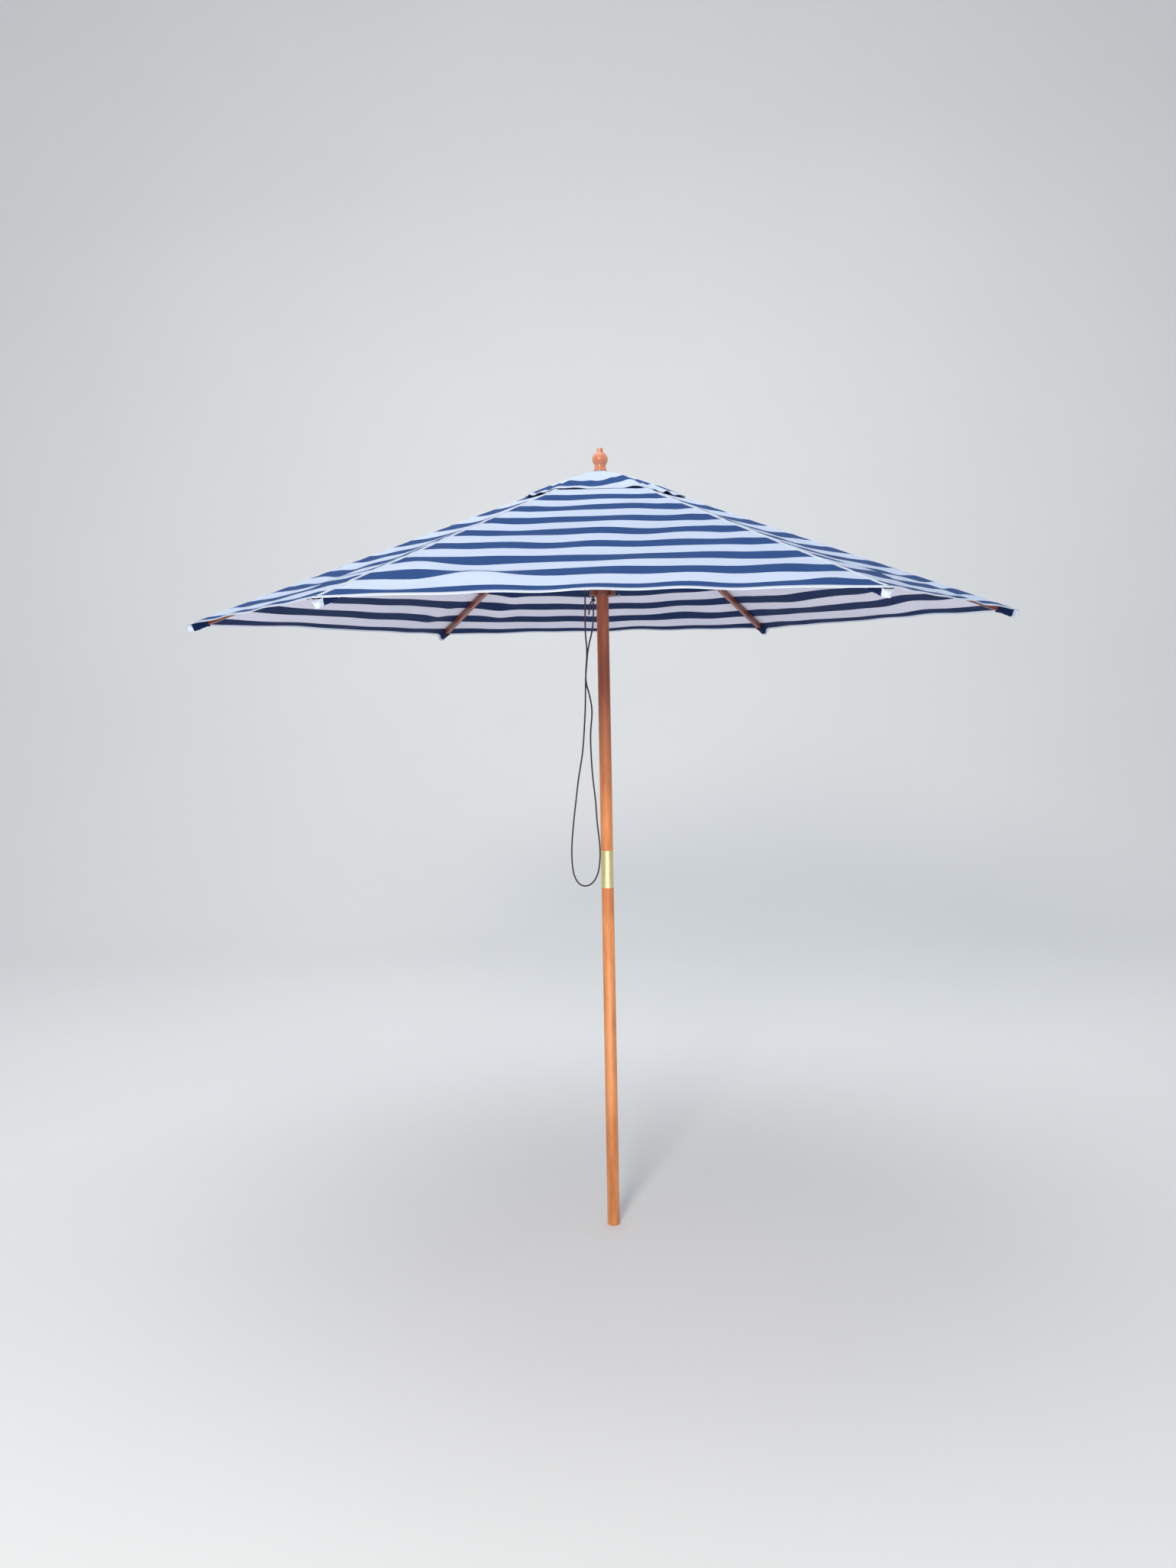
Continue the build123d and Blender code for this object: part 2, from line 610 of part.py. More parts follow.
# over the pulley: up from the runner, half round the wheel and down beside the runner
lift_side = upright_plane(PULLEY_AZIMUTH)
with BuildPart() as lift_cord_upper:
    with BuildLine(lift_side) as upper_route:
        rise_points = [
            (KNOT_RADIUS, runner_top_z - CORD_IN_RUNNER),
            (KNOT_RADIUS, runner_top_z + 25),
            (PULLEY_GROOVE_R, runner_top_z + 90),
            (PULLEY_GROOVE_R, PULLEY_Z),
        ]
        rise = FilletPolyline(*rise_points, radius=tube_radii([(x, y, 0) for x, y in rise_points]))
        wrap = CenterArc((0, PULLEY_Z), PULLEY_GROOVE_R, 0, 180)
        fall_points = [
            (-PULLEY_GROOVE_R, PULLEY_Z),
            (-PULLEY_GROOVE_R, PULLEY_Z - 75),
            (-FALL_RADIUS, RUNNER_BOTTOM_Z + 70),
            (-FALL_RADIUS, RUNNER_BOTTOM_Z + 3.2),
        ]
        fall = FilletPolyline(*fall_points, radius=tube_radii([(x, y, 0) for x, y in fall_points]))
    with BuildSketch(Plane(origin=upper_route.wires()[0] @ 0, z_dir=upper_route.wires()[0] % 0)):
        Circle(CORD_R)
    sweep(transition=Transition.ROUND)
upper_length = upper_route.wires()[0].length
print("lift_cord_upper length", round(upper_length, 1))
upper_section_volume = pi * CORD_R**2 * upper_length
print("lift_cord_upper volume ratio", round(lift_cord_upper.part.volume / upper_section_volume, 4))
save(lift_cord_upper, "lift_cord_upper")

# ---------------------------------------------------------------- joints, for the record
folded_slope = radians(88.5)
fold = folded_slope - strut_slope
travel = 2 * strut_length * (sin(folded_slope) - sin(strut_slope))
print("canopy slope deg", round(degrees(canopy_slope), 4))
print("hub pivot z", round(hub_pivot_z, 4), "runner pivot z", round(runner_pivot_z, 4))
print("strut slope deg", round(degrees(strut_slope), 4), "strut length", round(strut_length, 4))
print("runner travel", round(travel, 4), "fold deg", round(degrees(fold), 4))
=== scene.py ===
"""Looks of the beach umbrella: its cloth, rope, wood and metal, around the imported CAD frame.

Metres, +Z up the pole. The cloth is worked out from one surface for the canopy and one for the
vent cap, and is cut into half gores that fold with the ribs.
"""
import json
from math import atan, cos, pi, radians, sin, tan

import bpy
import numpy as np
from mathutils import Matrix, Vector

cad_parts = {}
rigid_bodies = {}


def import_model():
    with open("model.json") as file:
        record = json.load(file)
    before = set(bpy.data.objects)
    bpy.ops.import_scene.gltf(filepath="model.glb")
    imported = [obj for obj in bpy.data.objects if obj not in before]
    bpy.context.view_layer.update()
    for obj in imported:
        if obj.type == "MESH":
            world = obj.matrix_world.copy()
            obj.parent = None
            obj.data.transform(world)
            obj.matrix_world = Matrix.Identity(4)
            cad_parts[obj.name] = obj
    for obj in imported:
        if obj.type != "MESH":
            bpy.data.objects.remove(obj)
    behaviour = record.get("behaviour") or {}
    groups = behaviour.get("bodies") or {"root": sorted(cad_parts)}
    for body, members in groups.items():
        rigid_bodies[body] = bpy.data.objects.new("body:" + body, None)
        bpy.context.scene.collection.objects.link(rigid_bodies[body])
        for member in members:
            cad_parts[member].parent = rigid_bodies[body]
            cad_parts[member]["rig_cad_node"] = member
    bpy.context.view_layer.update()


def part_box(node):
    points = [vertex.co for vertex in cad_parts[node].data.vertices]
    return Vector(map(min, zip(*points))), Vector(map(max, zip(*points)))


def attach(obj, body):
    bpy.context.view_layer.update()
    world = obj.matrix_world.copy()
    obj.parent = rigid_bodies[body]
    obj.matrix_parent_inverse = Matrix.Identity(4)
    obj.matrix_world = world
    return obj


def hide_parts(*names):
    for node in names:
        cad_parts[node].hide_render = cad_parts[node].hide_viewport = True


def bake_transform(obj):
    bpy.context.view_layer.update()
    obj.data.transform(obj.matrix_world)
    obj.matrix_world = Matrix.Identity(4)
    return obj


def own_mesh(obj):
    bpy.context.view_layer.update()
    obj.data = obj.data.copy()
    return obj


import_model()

# ---------------------------------------------------------------- sizes, from the frame
RIB_COUNT = 6
HALF_SECTOR = pi / RIB_COUNT
AZIMUTHS = [2 * HALF_SECTOR * n for n in range(RIB_COUNT)]
CLOTH = 0.0008

gore_low, gore_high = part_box("canopy_gore_1")
vent_low, vent_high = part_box("vent_gore_1")
TIP_R = gore_high.x
TIP_Z = gore_low.z + CLOTH
HOLE_R = gore_low.x / cos(HALF_SECTOR) ** 2
HOLE_Z = gore_high.z
RIDGE_SLOPE = (HOLE_Z - TIP_Z) / (TIP_R - HOLE_R)
PANEL_SLOPE = RIDGE_SLOPE / cos(HALF_SECTOR)
SIDE = tan(HALF_SECTOR)  # a panel's half width, per metre from the pole's axis
APEX_Z = HOLE_Z + HOLE_R * RIDGE_SLOPE
TILT = atan(RIDGE_SLOPE)

runner_low, runner_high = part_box("runner")
wheel_low, wheel_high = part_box("pulley_wheel")
ferrule_low, ferrule_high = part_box("ferrule")
finial_low, finial_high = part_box("finial")
UP = np.array([0, 0, 1.0])


def unit(azimuth):
    """The level direction at an azimuth in radians."""
    return np.array([cos(azimuth), sin(azimuth), 0.0])


def along_rib(azimuth):
    """The direction out and down along a rib, and the direction square to it, up."""
    return unit(azimuth) * cos(TILT) - UP * sin(TILT), unit(azimuth) * sin(TILT) + UP * cos(TILT)


# ---------------------------------------------------------------- camera
CAMERA_PLACE = (0.0, -4.017, 1.687)
CAMERA_LENS = 29.56
CAMERA_SHIFT = (-0.0102, -0.0645)
CAMERA_ROLL = radians(-1.03)


def make_camera():
    """The photographer's view: level, from the front, a little under the hem."""
    data = bpy.data.cameras.new("camera")
    data.lens = CAMERA_LENS
    data.shift_x, data.shift_y = CAMERA_SHIFT
    data.clip_end = 100.0
    camera = bpy.data.objects.new("camera", data)
    bpy.context.scene.collection.objects.link(camera)
    level = Matrix.Rotation(pi / 2, 4, "X") @ Matrix.Rotation(CAMERA_ROLL, 4, "Z")
    camera.matrix_world = Matrix.Translation(CAMERA_PLACE) @ level
    bpy.context.scene.camera = camera


# ---------------------------------------------------------------- shader helpers
class Shader:
    """A material that is put together node by node."""

    def __init__(self, name):
        self.material = bpy.data.materials.new(name)
        self.material.use_nodes = True
        self.tree = self.material.node_tree
        self.surface = self.tree.nodes["Principled BSDF"]

    def node(self, kind, inputs=None, **settings):
        made = self.tree.nodes.new("ShaderNode" + kind)
        for key, value in settings.items():
            setattr(made, key, value)
        for key, value in (inputs or {}).items():
            self.feed(made.inputs[key], value)
        return made

    def feed(self, socket, value):
        if isinstance(value, bpy.types.NodeSocket):
            self.tree.links.new(value, socket)
        elif isinstance(value, bpy.types.Node):
            self.tree.links.new(value.outputs[0], socket)
        else:
            socket.default_value = value

    def cloth_place(self):
        """The place on the flat cloth or along the rope, stored on the mesh."""
        return self.node("Attribute", attribute_name="cloth").outputs["Vector"]

    def stretched(self, place, scale):
        return self.node("Mapping", {"Vector": place, "Scale": scale})

    def math(self, operation, first, second=0.0):
        return self.node("Math", {0: first, 1: second}, operation=operation).outputs[0]

    def between(self, value, low, high):
        """0 below low and 1 above high, smooth between."""
        made = self.node(
            "MapRange", {"Value": value, "From Min": low, "From Max": high}, interpolation_type="SMOOTHSTEP"
        )
        return made.outputs["Result"]

    def mix(self, share, first, second, blend="MIX"):
        made = self.node("Mix", data_type="RGBA", blend_type=blend)
        self.feed(made.inputs["Factor"], share)
        self.feed(made.inputs["A"], first)
        self.feed(made.inputs["B"], second)
        return made.outputs["Result"]

    def noise(self, place, scale, detail=2.0, roughness=0.5):
        inputs = {"Vector": place, "Scale": scale, "Detail": detail, "Roughness": roughness}
        return self.node("TexNoise", inputs).outputs["Fac"]

    def bump(self, height, distance, strength=1.0, normal=None):
        inputs = {"Height": height, "Distance": distance, "Strength": strength}
        if normal is not None:
            inputs["Normal"] = normal
        return self.node("Bump", inputs).outputs["Normal"]

    def finish(self, color, roughness, normal=None, **constants):
        self.feed(self.surface.inputs["Base Color"], color)
        self.feed(self.surface.inputs["Roughness"], roughness)
        if normal is not None:
            self.feed(self.surface.inputs["Normal"], normal)
        for key, value in constants.items():
            self.surface.inputs[key.replace("_", " ")].default_value = value
        return self.material


def color(red, green, blue):
    return (red, green, blue, 1.0)


def dimmed(base, share):
    return tuple(share * part for part in base[:3]) + (1.0,)


# ---------------------------------------------------------------- materials
STRIPE_PITCH = 0.1114  # level distance from the pole's axis, as are the next three
NAVY_WIDTH = 0.0525
LAST_NAVY = 1.071
VENT_NAVY = 0.165
NAVY = color(0.020, 0.066, 0.215)
# painted shade and painted light: the under face's navy is a darker copy of the upper navy, standing for the
# shade under the canopy; its white is a lighter, less blue copy, standing for light coming through the cloth
NAVY_UNDER_PAINTED_SHADE = color(0.006, 0.020, 0.082)
WHITE = color(0.56, 0.64, 0.80)
WHITE_UNDER_PAINTED_LIGHT = color(0.66, 0.66, 0.78)
BINDING = color(0.62, 0.68, 0.80)
STITCH = color(0.42, 0.44, 0.52)
THREADS = 1100.0  # per metre
STRIPE_EDGE = 0.0007  # half the width over which a stripe's colour changes
STRIPE_WOBBLE = 0.0016
STITCH_PITCH = 0.0034
STITCH_HALF = 0.0005


def woven(shader, cloth):
    """Height of a plain weave: threads over and under, in both directions."""
    split = shader.node("SeparateXYZ", {"Vector": cloth})
    across = shader.math("SINE", shader.math("MULTIPLY", split.outputs["X"], THREADS * pi))
    along = shader.math("SINE", shader.math("MULTIPLY", split.outputs["Y"], THREADS * pi))
    return shader.math("MULTIPLY", across, along)


def cloth_color(shader, cloth, base):
    """Slubs and slight fading over a plain cloth colour."""
    slub = shader.noise(shader.stretched(cloth, (900.0, 40.0, 1.0)), 1.0, 3.0)
    faded = shader.noise(cloth, 5.0, 3.0)
    uneven = shader.math("ADD", shader.math("MULTIPLY", slub, 0.16), shader.math("MULTIPLY", faded, 0.16))
    light = shader.math("ADD", uneven, 0.84)
    tone = shader.node("CombineColor", {"Red": light, "Green": light, "Blue": light})
    return shader.mix(1.0, base, tone.outputs[0], "MULTIPLY")


def striped_cloth(name, navy, white, first_navy):
    """Canopy cloth. Its stripes lie parallel to the hem, at a distance stored on the mesh."""
    shader = Shader(name)
    cloth = shader.cloth_place()
    split = shader.node("SeparateXYZ", {"Vector": cloth})
    wobble = shader.noise(cloth, 60.0, 2.0)
    level = shader.math("ADD", split.outputs["Y"], shader.math("MULTIPLY", wobble, STRIPE_WOBBLE))
    turned = shader.math("SUBTRACT", level, first_navy % STRIPE_PITCH + STRIPE_WOBBLE / 2)
    turn = shader.math("FRACT", shader.math("DIVIDE", turned, STRIPE_PITCH))
    place = shader.math("MULTIPLY", turn, STRIPE_PITCH)
    rising = shader.between(place, 0.0, 2 * STRIPE_EDGE)
    falling = shader.between(place, NAVY_WIDTH, NAVY_WIDTH + 2 * STRIPE_EDGE)
    is_navy = shader.math("SUBTRACT", rising, falling)
    base = shader.mix(is_navy, white, navy)
    bump = shader.bump(woven(shader, cloth), 0.00012, 0.5)
    crease = shader.noise(cloth, 9.0, 4.0, 0.6)
    bump = shader.bump(crease, 0.004, 0.35, bump)
    return shader.finish(
        cloth_color(shader, cloth, base), 0.82, bump,
        Sheen_Weight=0.02, Sheen_Roughness=0.5, Specular_IOR_Level=0.12,
    )


def plain_cloth(name, base):
    shader = Shader(name)
    cloth = shader.cloth_place()
    bump = shader.bump(woven(shader, cloth), 0.00015, 0.6)
    return shader.finish(
        cloth_color(shader, cloth, base), 0.85, bump,
        Sheen_Weight=0.02, Sheen_Roughness=0.5, Specular_IOR_Level=0.12,
    )


def stitched_cloth(name, base, lines):
    """Plain cloth with rows of stitches at distances from its middle line."""
    shader = Shader(name)
    cloth = shader.cloth_place()
    split = shader.node("SeparateXYZ", {"Vector": cloth})
    aside = shader.math("ABSOLUTE", split.outputs["X"])
    dash = shader.math("FRACT", shader.math("MULTIPLY", split.outputs["Y"], 1 / STITCH_PITCH))
    on_dash = shader.between(shader.math("ABSOLUTE", shader.math("SUBTRACT", dash, 0.5)), 0.44, 0.36)
    stitch = 0.0
    for line in lines:
        apart = shader.math("ABSOLUTE", shader.math("SUBTRACT", aside, line))
        near = shader.between(apart, STITCH_HALF, 0.4 * STITCH_HALF)
        stitch = near if stitch == 0.0 else shader.math("MAXIMUM", stitch, near)
    stitch = shader.math("MULTIPLY", stitch, on_dash)
    base_color = cloth_color(shader, cloth, base)
    thread = shader.mix(shader.math("MULTIPLY", stitch, 0.55), base_color, STITCH)
    bump = shader.bump(woven(shader, cloth), 0.00015, 0.5)
    bump = shader.bump(stitch, 0.0004, 0.8, bump)
    return shader.finish(thread, 0.82, bump, Sheen_Weight=0.15, Specular_IOR_Level=0.25)


# wood: noise scales per metre, and how much each is drawn out along the grain
DRIFT_SCALE, DRIFT_STRETCH = 28.0, 0.12
FIBRE_SCALE, FIBRE_STRETCH = 900.0, 0.035
PORE_SCALE, PORE_STRETCH = 2600.0, 0.05


def wood(name, along, light, dark, roughness, shaded=None):
    """Varnished hardwood. Its grain runs along a direction of the part's own frame.

    shaded is (light colour, dark colour, low, high): painted shade, standing for the canopy's shadow on the
    pole; the wood turns to these colours between two heights.
    """
    shader = Shader(name)
    place = shader.node("TexCoord").outputs["Object"]
    turn = Vector(along).to_track_quat("Z", "Y").inverted().to_euler()
    lined = shader.node("Mapping", {"Vector": place, "Rotation": tuple(turn)})
    drift = shader.noise(shader.stretched(lined, (1.0, 1.0, DRIFT_STRETCH)), DRIFT_SCALE, 3.0)
    fibre = shader.noise(shader.stretched(lined, (1.0, 1.0, FIBRE_STRETCH)), FIBRE_SCALE, 4.0, 0.62)
    pores = shader.noise(shader.stretched(lined, (1.0, 1.0, PORE_STRETCH)), PORE_SCALE, 2.0, 0.5)
    blended = shader.math("ADD", shader.math("MULTIPLY", drift, 0.75), shader.math("MULTIPLY", fibre, 0.45))
    band = shader.between(blended, 0.46, 0.72)
    if shaded:
        shaded_light, shaded_dark, low, high = shaded
        height = shader.node("SeparateXYZ", {"Vector": place}).outputs["Z"]
        # painted shade: darker towards the top, standing for the shadow the canopy casts on the pole
        painted_shade_share = shader.between(height, low, high)
        light = shader.mix(painted_shade_share, light, shaded_light)
        dark = shader.mix(painted_shade_share, dark, shaded_dark)
    base = shader.mix(band, light, dark)
    specks = shader.between(pores, 0.62, 0.74)
    base = shader.mix(shader.math("MULTIPLY", specks, 0.55), base, dark)
    wear = shader.noise(lined, 14.0, 3.0)
    rough = shader.math("ADD", shader.math("MULTIPLY", wear, 0.18), roughness - 0.09)
    bump = shader.bump(fibre, 0.00025, 0.35)
    bump = shader.bump(pores, 0.0002, 0.2, bump)
    return shader.finish(base, rough, bump, Coat_Weight=0.25, Coat_Roughness=0.22)


def metal(name, base, roughness, scratched=(1.0, 1.0, 0.02)):
    """Drawn or rolled metal with fine lines and a little tarnish."""
    shader = Shader(name)
    place = shader.node("TexCoord").outputs["Object"]
    lines = shader.noise(shader.stretched(place, scratched), 2400.0, 3.0)
    tarnish = shader.noise(place, 60.0, 4.0, 0.6)
    tone = shader.mix(shader.between(tarnish, 0.45, 0.95), base, dimmed(base, 0.62))
    rough = shader.math("ADD", shader.math("MULTIPLY", lines, 0.16), roughness - 0.08)
    bump = shader.bump(lines, 0.00006, 0.4)
    return shader.finish(tone, rough, bump, Metallic=1.0)


def moulded(name, base, roughness=0.45):
    """Moulded nylon with a fine grain."""
    shader = Shader(name)
    place = shader.node("TexCoord").outputs["Object"]
    grain = shader.noise(place, 1800.0, 2.0)
    uneven = shader.mix(shader.noise(place, 90.0, 2.0), base, dimmed(base, 0.7))
    return shader.finish(uneven, roughness, shader.bump(grain, 0.0001, 0.3))


def rope_fibre(name, light, dark):
    """Twisted cord: yarns that follow each strand, from coordinates stored on the mesh."""
    shader = Shader(name)
    lay = shader.cloth_place()
    yarns = shader.noise(shader.stretched(lay, (260.0, 6000.0, 1.0)), 1.0, 2.0)
    patches = shader.noise(lay, 30.0, 2.0)
    share = shader.math("ADD", shader.math("MULTIPLY", yarns, 0.7), shader.math("MULTIPLY", patches, 0.3))
    tone = shader.mix(shader.between(share, 0.3, 0.7), dark, light)
    return shader.finish(tone, 0.8, shader.bump(yarns, 0.0003, 0.6), Sheen_Weight=0.2)


# ---------------------------------------------------------------- mesh helpers
def grid_faces(rows, columns, start=0, flip=False):
    """Quads of a grid whose points are numbered row by row."""
    faces = []
    for row in range(rows - 1):
        for column in range(columns - 1):
            a = start + row * columns + column
            quad = (a, a + 1, a + columns + 1, a + columns)
            faces.append(quad[::-1] if flip else quad)
    return faces


def make_piece(name, points, faces, materials, face_materials=None, cloth=None, normals=None):
    """A smooth mesh object. cloth holds each point's place on the flat cloth."""
    mesh = bpy.data.meshes.new(name)
    mesh.from_pydata([tuple(point) for point in points], [], faces)
    for material in materials:
        mesh.materials.append(material)
    mesh.polygons.foreach_set("use_smooth", [True] * len(faces))
    if face_materials is not None:
        mesh.polygons.foreach_set("material_index", face_materials)
    if cloth is not None:
        stored = mesh.attributes.new("cloth", "FLOAT_VECTOR", "POINT")
        stored.data.foreach_set("vector", np.asarray(cloth, np.float32).ravel())
    mesh.update()
    if normals is not None:
        mesh.normals_split_custom_set_from_vertices([tuple(normal) for normal in normals])
    made = bpy.data.objects.new(name, mesh)
    bpy.context.scene.collection.objects.link(made)
    return made


# ---------------------------------------------------------------- the canopy's surface
HEM_DIP = 0.0135  # the hem is cut this far inward in the middle of a panel
RIDGE_ROUND = 0.006
SAG_FROM = 0.12  # distance from the axis at which the sag begins, and the reach outward from there
SAG_REACH = 1.04
LOOSE_FROM = 0.16  # likewise for the ripples and folds, which grow over this reach
LOOSE_REACH = 0.22
# sag of each panel's middle, from the panel between ribs 1 and 2 on round
PANEL_SAG = (0.014, 0.020, 0.014, 0.012, 0.001, 0.010)
# folds: (panel, distance from the axis, place along the hem, height, reach outward, reach along)
FOLDS = (
    (4, 0.93, -0.47, 0.017, 0.055, 0.075),
    (4, 1.04, -0.47, -0.009, 0.045, 0.075),
    (4, 0.92, -0.31, -0.010, 0.050, 0.080),
    (4, 1.015, -0.30, 0.019, 0.042, 0.100),
    (4, 1.050, 0.53, 0.013, 0.040, 0.055),
    (4, 0.98, 0.05, 0.005, 0.080, 0.200),
    (4, 0.97, 0.40, 0.005, 0.050, 0.100),
    (4, 0.62, -0.22, -0.004, 0.110, 0.080),
    (4, 0.42, 0.10, 0.003, 0.060, 0.060),
    (1, 0.93, 0.40, -0.014, 0.050, 0.050),
    (1, 0.80, 0.34, -0.010, 0.060, 0.040),
    (2, 0.95, -0.42, -0.010, 0.080, 0.050),
    (1, 0.95, -0.30, 0.006, 0.050, 0.120),
    (0, 0.90, 0.20, -0.008, 0.070, 0.140),
    (0, 1.00, -0.30, 0.007, 0.050, 0.110),
    (2, 0.85, 0.25, -0.008, 0.080, 0.120),
    (3, 0.95, 0.25, 0.008, 0.060, 0.110),
    (3, 0.80, -0.20, -0.007, 0.080, 0.100),
    (5, 0.95, -0.25, 0.008, 0.055, 0.110),
    (5, 0.85, 0.30, -0.007, 0.070, 0.100),
)
PUCKER_PITCH = 0.115
PUCKER = (0.0022, 0.0018, 0.0020, 0.0026, 0.0030, 0.0020)  # beside the ribs, for each panel
RIPPLE_COUNT = 9
RIPPLE_LENGTHS = (0.16, 0.5)
RIPPLE_HEIGHTS = (0.0003, 0.0010)


def ripples(seed):
    """A few long, low waves with seeded directions: (turn, wavelength, phase, height)."""
    chance = np.random.default_rng(seed)
    return [
        (chance.uniform(0, pi), chance.uniform(*RIPPLE_LENGTHS), chance.uniform(0, 2 * pi),
         chance.uniform(*RIPPLE_HEIGHTS))
        for _ in range(RIPPLE_COUNT)
    ]


RIPPLES = [ripples(300 + panel) for panel in range(RIB_COUNT)]


def panel_shape(panel, rho, along):
    """How far a panel stands above its flat plane. rho is the distance from the axis."""
    share = np.clip(along / (rho * SIDE), -1, 1)
    free = 1 - share**4
    from_hole = np.clip((rho - LOOSE_FROM) / LOOSE_REACH, 0, 1)
    outward = np.sin(pi * np.clip((rho - SAG_FROM) / SAG_REACH, 0, 1)) ** 0.8
    rise = -PANEL_SAG[panel] * (1 - share**2) * outward
    loose = np.zeros_like(rho)
    for turn, length, phase, height in RIPPLES[panel]:
        loose = loose + height * np.sin((rho * cos(turn) + along * sin(turn)) * 2 * pi / length + phase)
    for fold_panel, fold_rho, fold_along, height, reach_out, reach_along in FOLDS:
        if fold_panel == panel:
            near = ((rho - fold_rho) / reach_out) ** 2 + ((along - fold_along) / reach_along) ** 2
            loose = loose + height * np.exp(-near)
    beside = np.exp(-(((np.abs(share) - 0.84) / 0.10) ** 2))
    lean = np.where(along > 0, 0.4, 2.1)
    loose = loose + PUCKER[panel] * beside * np.sin(2 * pi * rho / PUCKER_PITCH + lean + 6 * share)
    return rise + loose * free * from_hole


def canopy_point(panel, rho, along):
    """Points of the canopy's upper face, as an array (..., 3)."""
    middle = AZIMUTHS[panel] + HALF_SECTOR
    outward, sideways = unit(middle), unit(middle + pi / 2)
    plane = APEX_Z - PANEL_SLOPE * rho
    from_rib = (rho * SIDE - np.abs(along)) * cos(HALF_SECTOR)
    fall = RIDGE_SLOPE * tan(HALF_SECTOR)
    rounding = fall * (from_rib - np.sqrt(from_rib**2 + RIDGE_ROUND**2) + RIDGE_ROUND)
    height = plane + rounding + panel_shape(panel, rho, along)
    points = rho[..., None] * outward + along[..., None] * sideways
    points[..., 2] = height
    return points


# ---------------------------------------------------------------- the vent cap's surface
VENT_R = 0.270
VENT_TOP_R = vent_low.x / cos(HALF_SECTOR) ** 2
VENT_TOP_Z = vent_high.z - 0.0005
VENT_CORNER = 0.985  # of the full radius, at a slack corner
VENT_DRAWN = 0.030  # the cap's left side is drawn in by this much
VENT_DRAWN_REACH = radians(16)
LIFT_REACH = radians(8.5)  # how far round each height in VENT_LIFTS counts
VENT_PUFF = 0.007
VENT_CLEAR = 0.0026
VENT_PULL = 0.045
VENT_PULL_AZIMUTH = 312
CROWN_WHITE_R = 0.108
CROWN_WHITE_LEVEL = 0.135
# how far the cap's hem stands off the canopy: (azimuth in degrees, height)
VENT_LIFTS = (
    (10, 0.009), (40, 0.012), (70, 0.007), (100, 0.010), (130, 0.007), (160, 0.010), (185, 0.007),
    (202, 0.009), (218, 0.010), (234, 0.002), (247, 0.011), (260, 0.001), (272, 0.001), (286, 0.004),
    (300, 0.005), (316, 0.004), (332, 0.008), (346, 0.009), (358, 0.007),
)


def vent_rho(azimuth):
    """For azimuths, the share of a radius that counts as distance square to the cap's hem."""
    return np.cos(np.mod(azimuth, 2 * HALF_SECTOR) - HALF_SECTOR)


def apart_from(azimuth, place):
    """Azimuths as seen from a place, between -pi and pi."""
    return np.angle(np.exp(1j * (azimuth - place)))


def vent_edge(azimuth):
    """The cap's hem: the radius of a hexagon with slack, rounded corners."""
    straight = VENT_R * cos(HALF_SECTOR) / vent_rho(azimuth)
    drawn_in = VENT_DRAWN * np.exp(-((apart_from(azimuth, pi) / VENT_DRAWN_REACH) ** 2))
    return np.minimum(straight, VENT_R * VENT_CORNER) - drawn_in


def vent_pull(azimuth):
    """Where the cap is pulled askew on the canopy: 0 off the slack side, 1 in its middle."""
    apart = np.degrees(apart_from(azimuth, radians(VENT_PULL_AZIMUTH)))
    share = np.clip(1.6 - np.abs(apart) / 30.0, 0, 1)
    return share * share * (3 - 2 * share)


def vent_lift(azimuth):
    """The height of the cap's hem over the canopy, smooth all round."""
    total = np.zeros_like(azimuth)
    weight = np.zeros_like(azimuth)
    for place, height in VENT_LIFTS:
        near = np.exp(-((apart_from(azimuth, radians(place)) / LIFT_REACH) ** 2))
        total += near * height
        weight += near
    return total / np.maximum(weight, 1e-9)


def cap_height(azimuth, radius):
    """The height of the cap's upper face at azimuths and distances from the axis."""
    panel = (np.mod(azimuth, 2 * pi) // (2 * HALF_SECTOR)).astype(int) % RIB_COUNT
    edge = vent_edge(azimuth)
    share = np.clip((radius - VENT_TOP_R) / (edge - VENT_TOP_R), 0, 1)
    under, at_edge = np.zeros_like(radius), np.zeros_like(radius)
    for number in range(RIB_COUNT):
        here = panel == number
        if not here.any():
            continue
        turned = apart_from(azimuth[here], AZIMUTHS[number] + HALF_SECTOR)
        out, aside = np.cos(turned), np.sin(turned)
        under[here] = canopy_point(number, radius[here] * out, radius[here] * aside)[..., 2]
        at_edge[here] = canopy_point(number, edge[here] * out, edge[here] * aside)[..., 2]
    slack = 1 + vent_pull(azimuth)
    wave = np.sin(azimuth * 11 + 1.3) * 0.0020 + np.sin(azimuth * 19 + 5.0 * share) * 0.0016 * slack
    lifted = at_edge + np.maximum(vent_lift(azimuth) + wave, VENT_CLEAR)
    puff = VENT_PUFF * np.sin(pi * share**0.8)
    height = VENT_TOP_Z + (lifted - VENT_TOP_Z) * share + puff + wave * share * (1 - share)
    over_cloth = radius > 0.9 * HOLE_R
    return np.where(over_cloth, np.maximum(height, under + VENT_CLEAR), height)


def vent_point(panel, share_out, along_share):
    """Points of the cap's upper face, and their distances on the flat cloth."""
    middle = AZIMUTHS[panel] + HALF_SECTOR
    azimuth = middle + np.arctan(along_share * SIDE)
    radius = VENT_TOP_R + share_out * (vent_edge(azimuth) - VENT_TOP_R)
    height = cap_height(azimuth, radius)
    points = np.stack([radius * np.cos(azimuth), radius * np.sin(azimuth), height], axis=-1)
    straight = radius * vent_rho(azimuth)
    level = straight + VENT_PULL * vent_pull(azimuth)
    level = np.where(straight < CROWN_WHITE_R, CROWN_WHITE_LEVEL, level)
    return points, level, radius * np.sin(azimuth - middle)


# ---------------------------------------------------------------- cloth pieces
GORE_ROWS = 118
GORE_COLUMNS = 49
VENT_ROWS = 30
VENT_COLUMNS = 15


def surface_normals(points):
    """Unit normals of a grid of points, turned up."""
    outward = np.gradient(points, axis=0)
    sideways = np.gradient(points, axis=1)
    normals = np.cross(outward, sideways)
    normals /= np.maximum(np.linalg.norm(normals, axis=-1, keepdims=True), 1e-12)
    return np.where(normals[..., 2:3] < 0, -normals, normals)


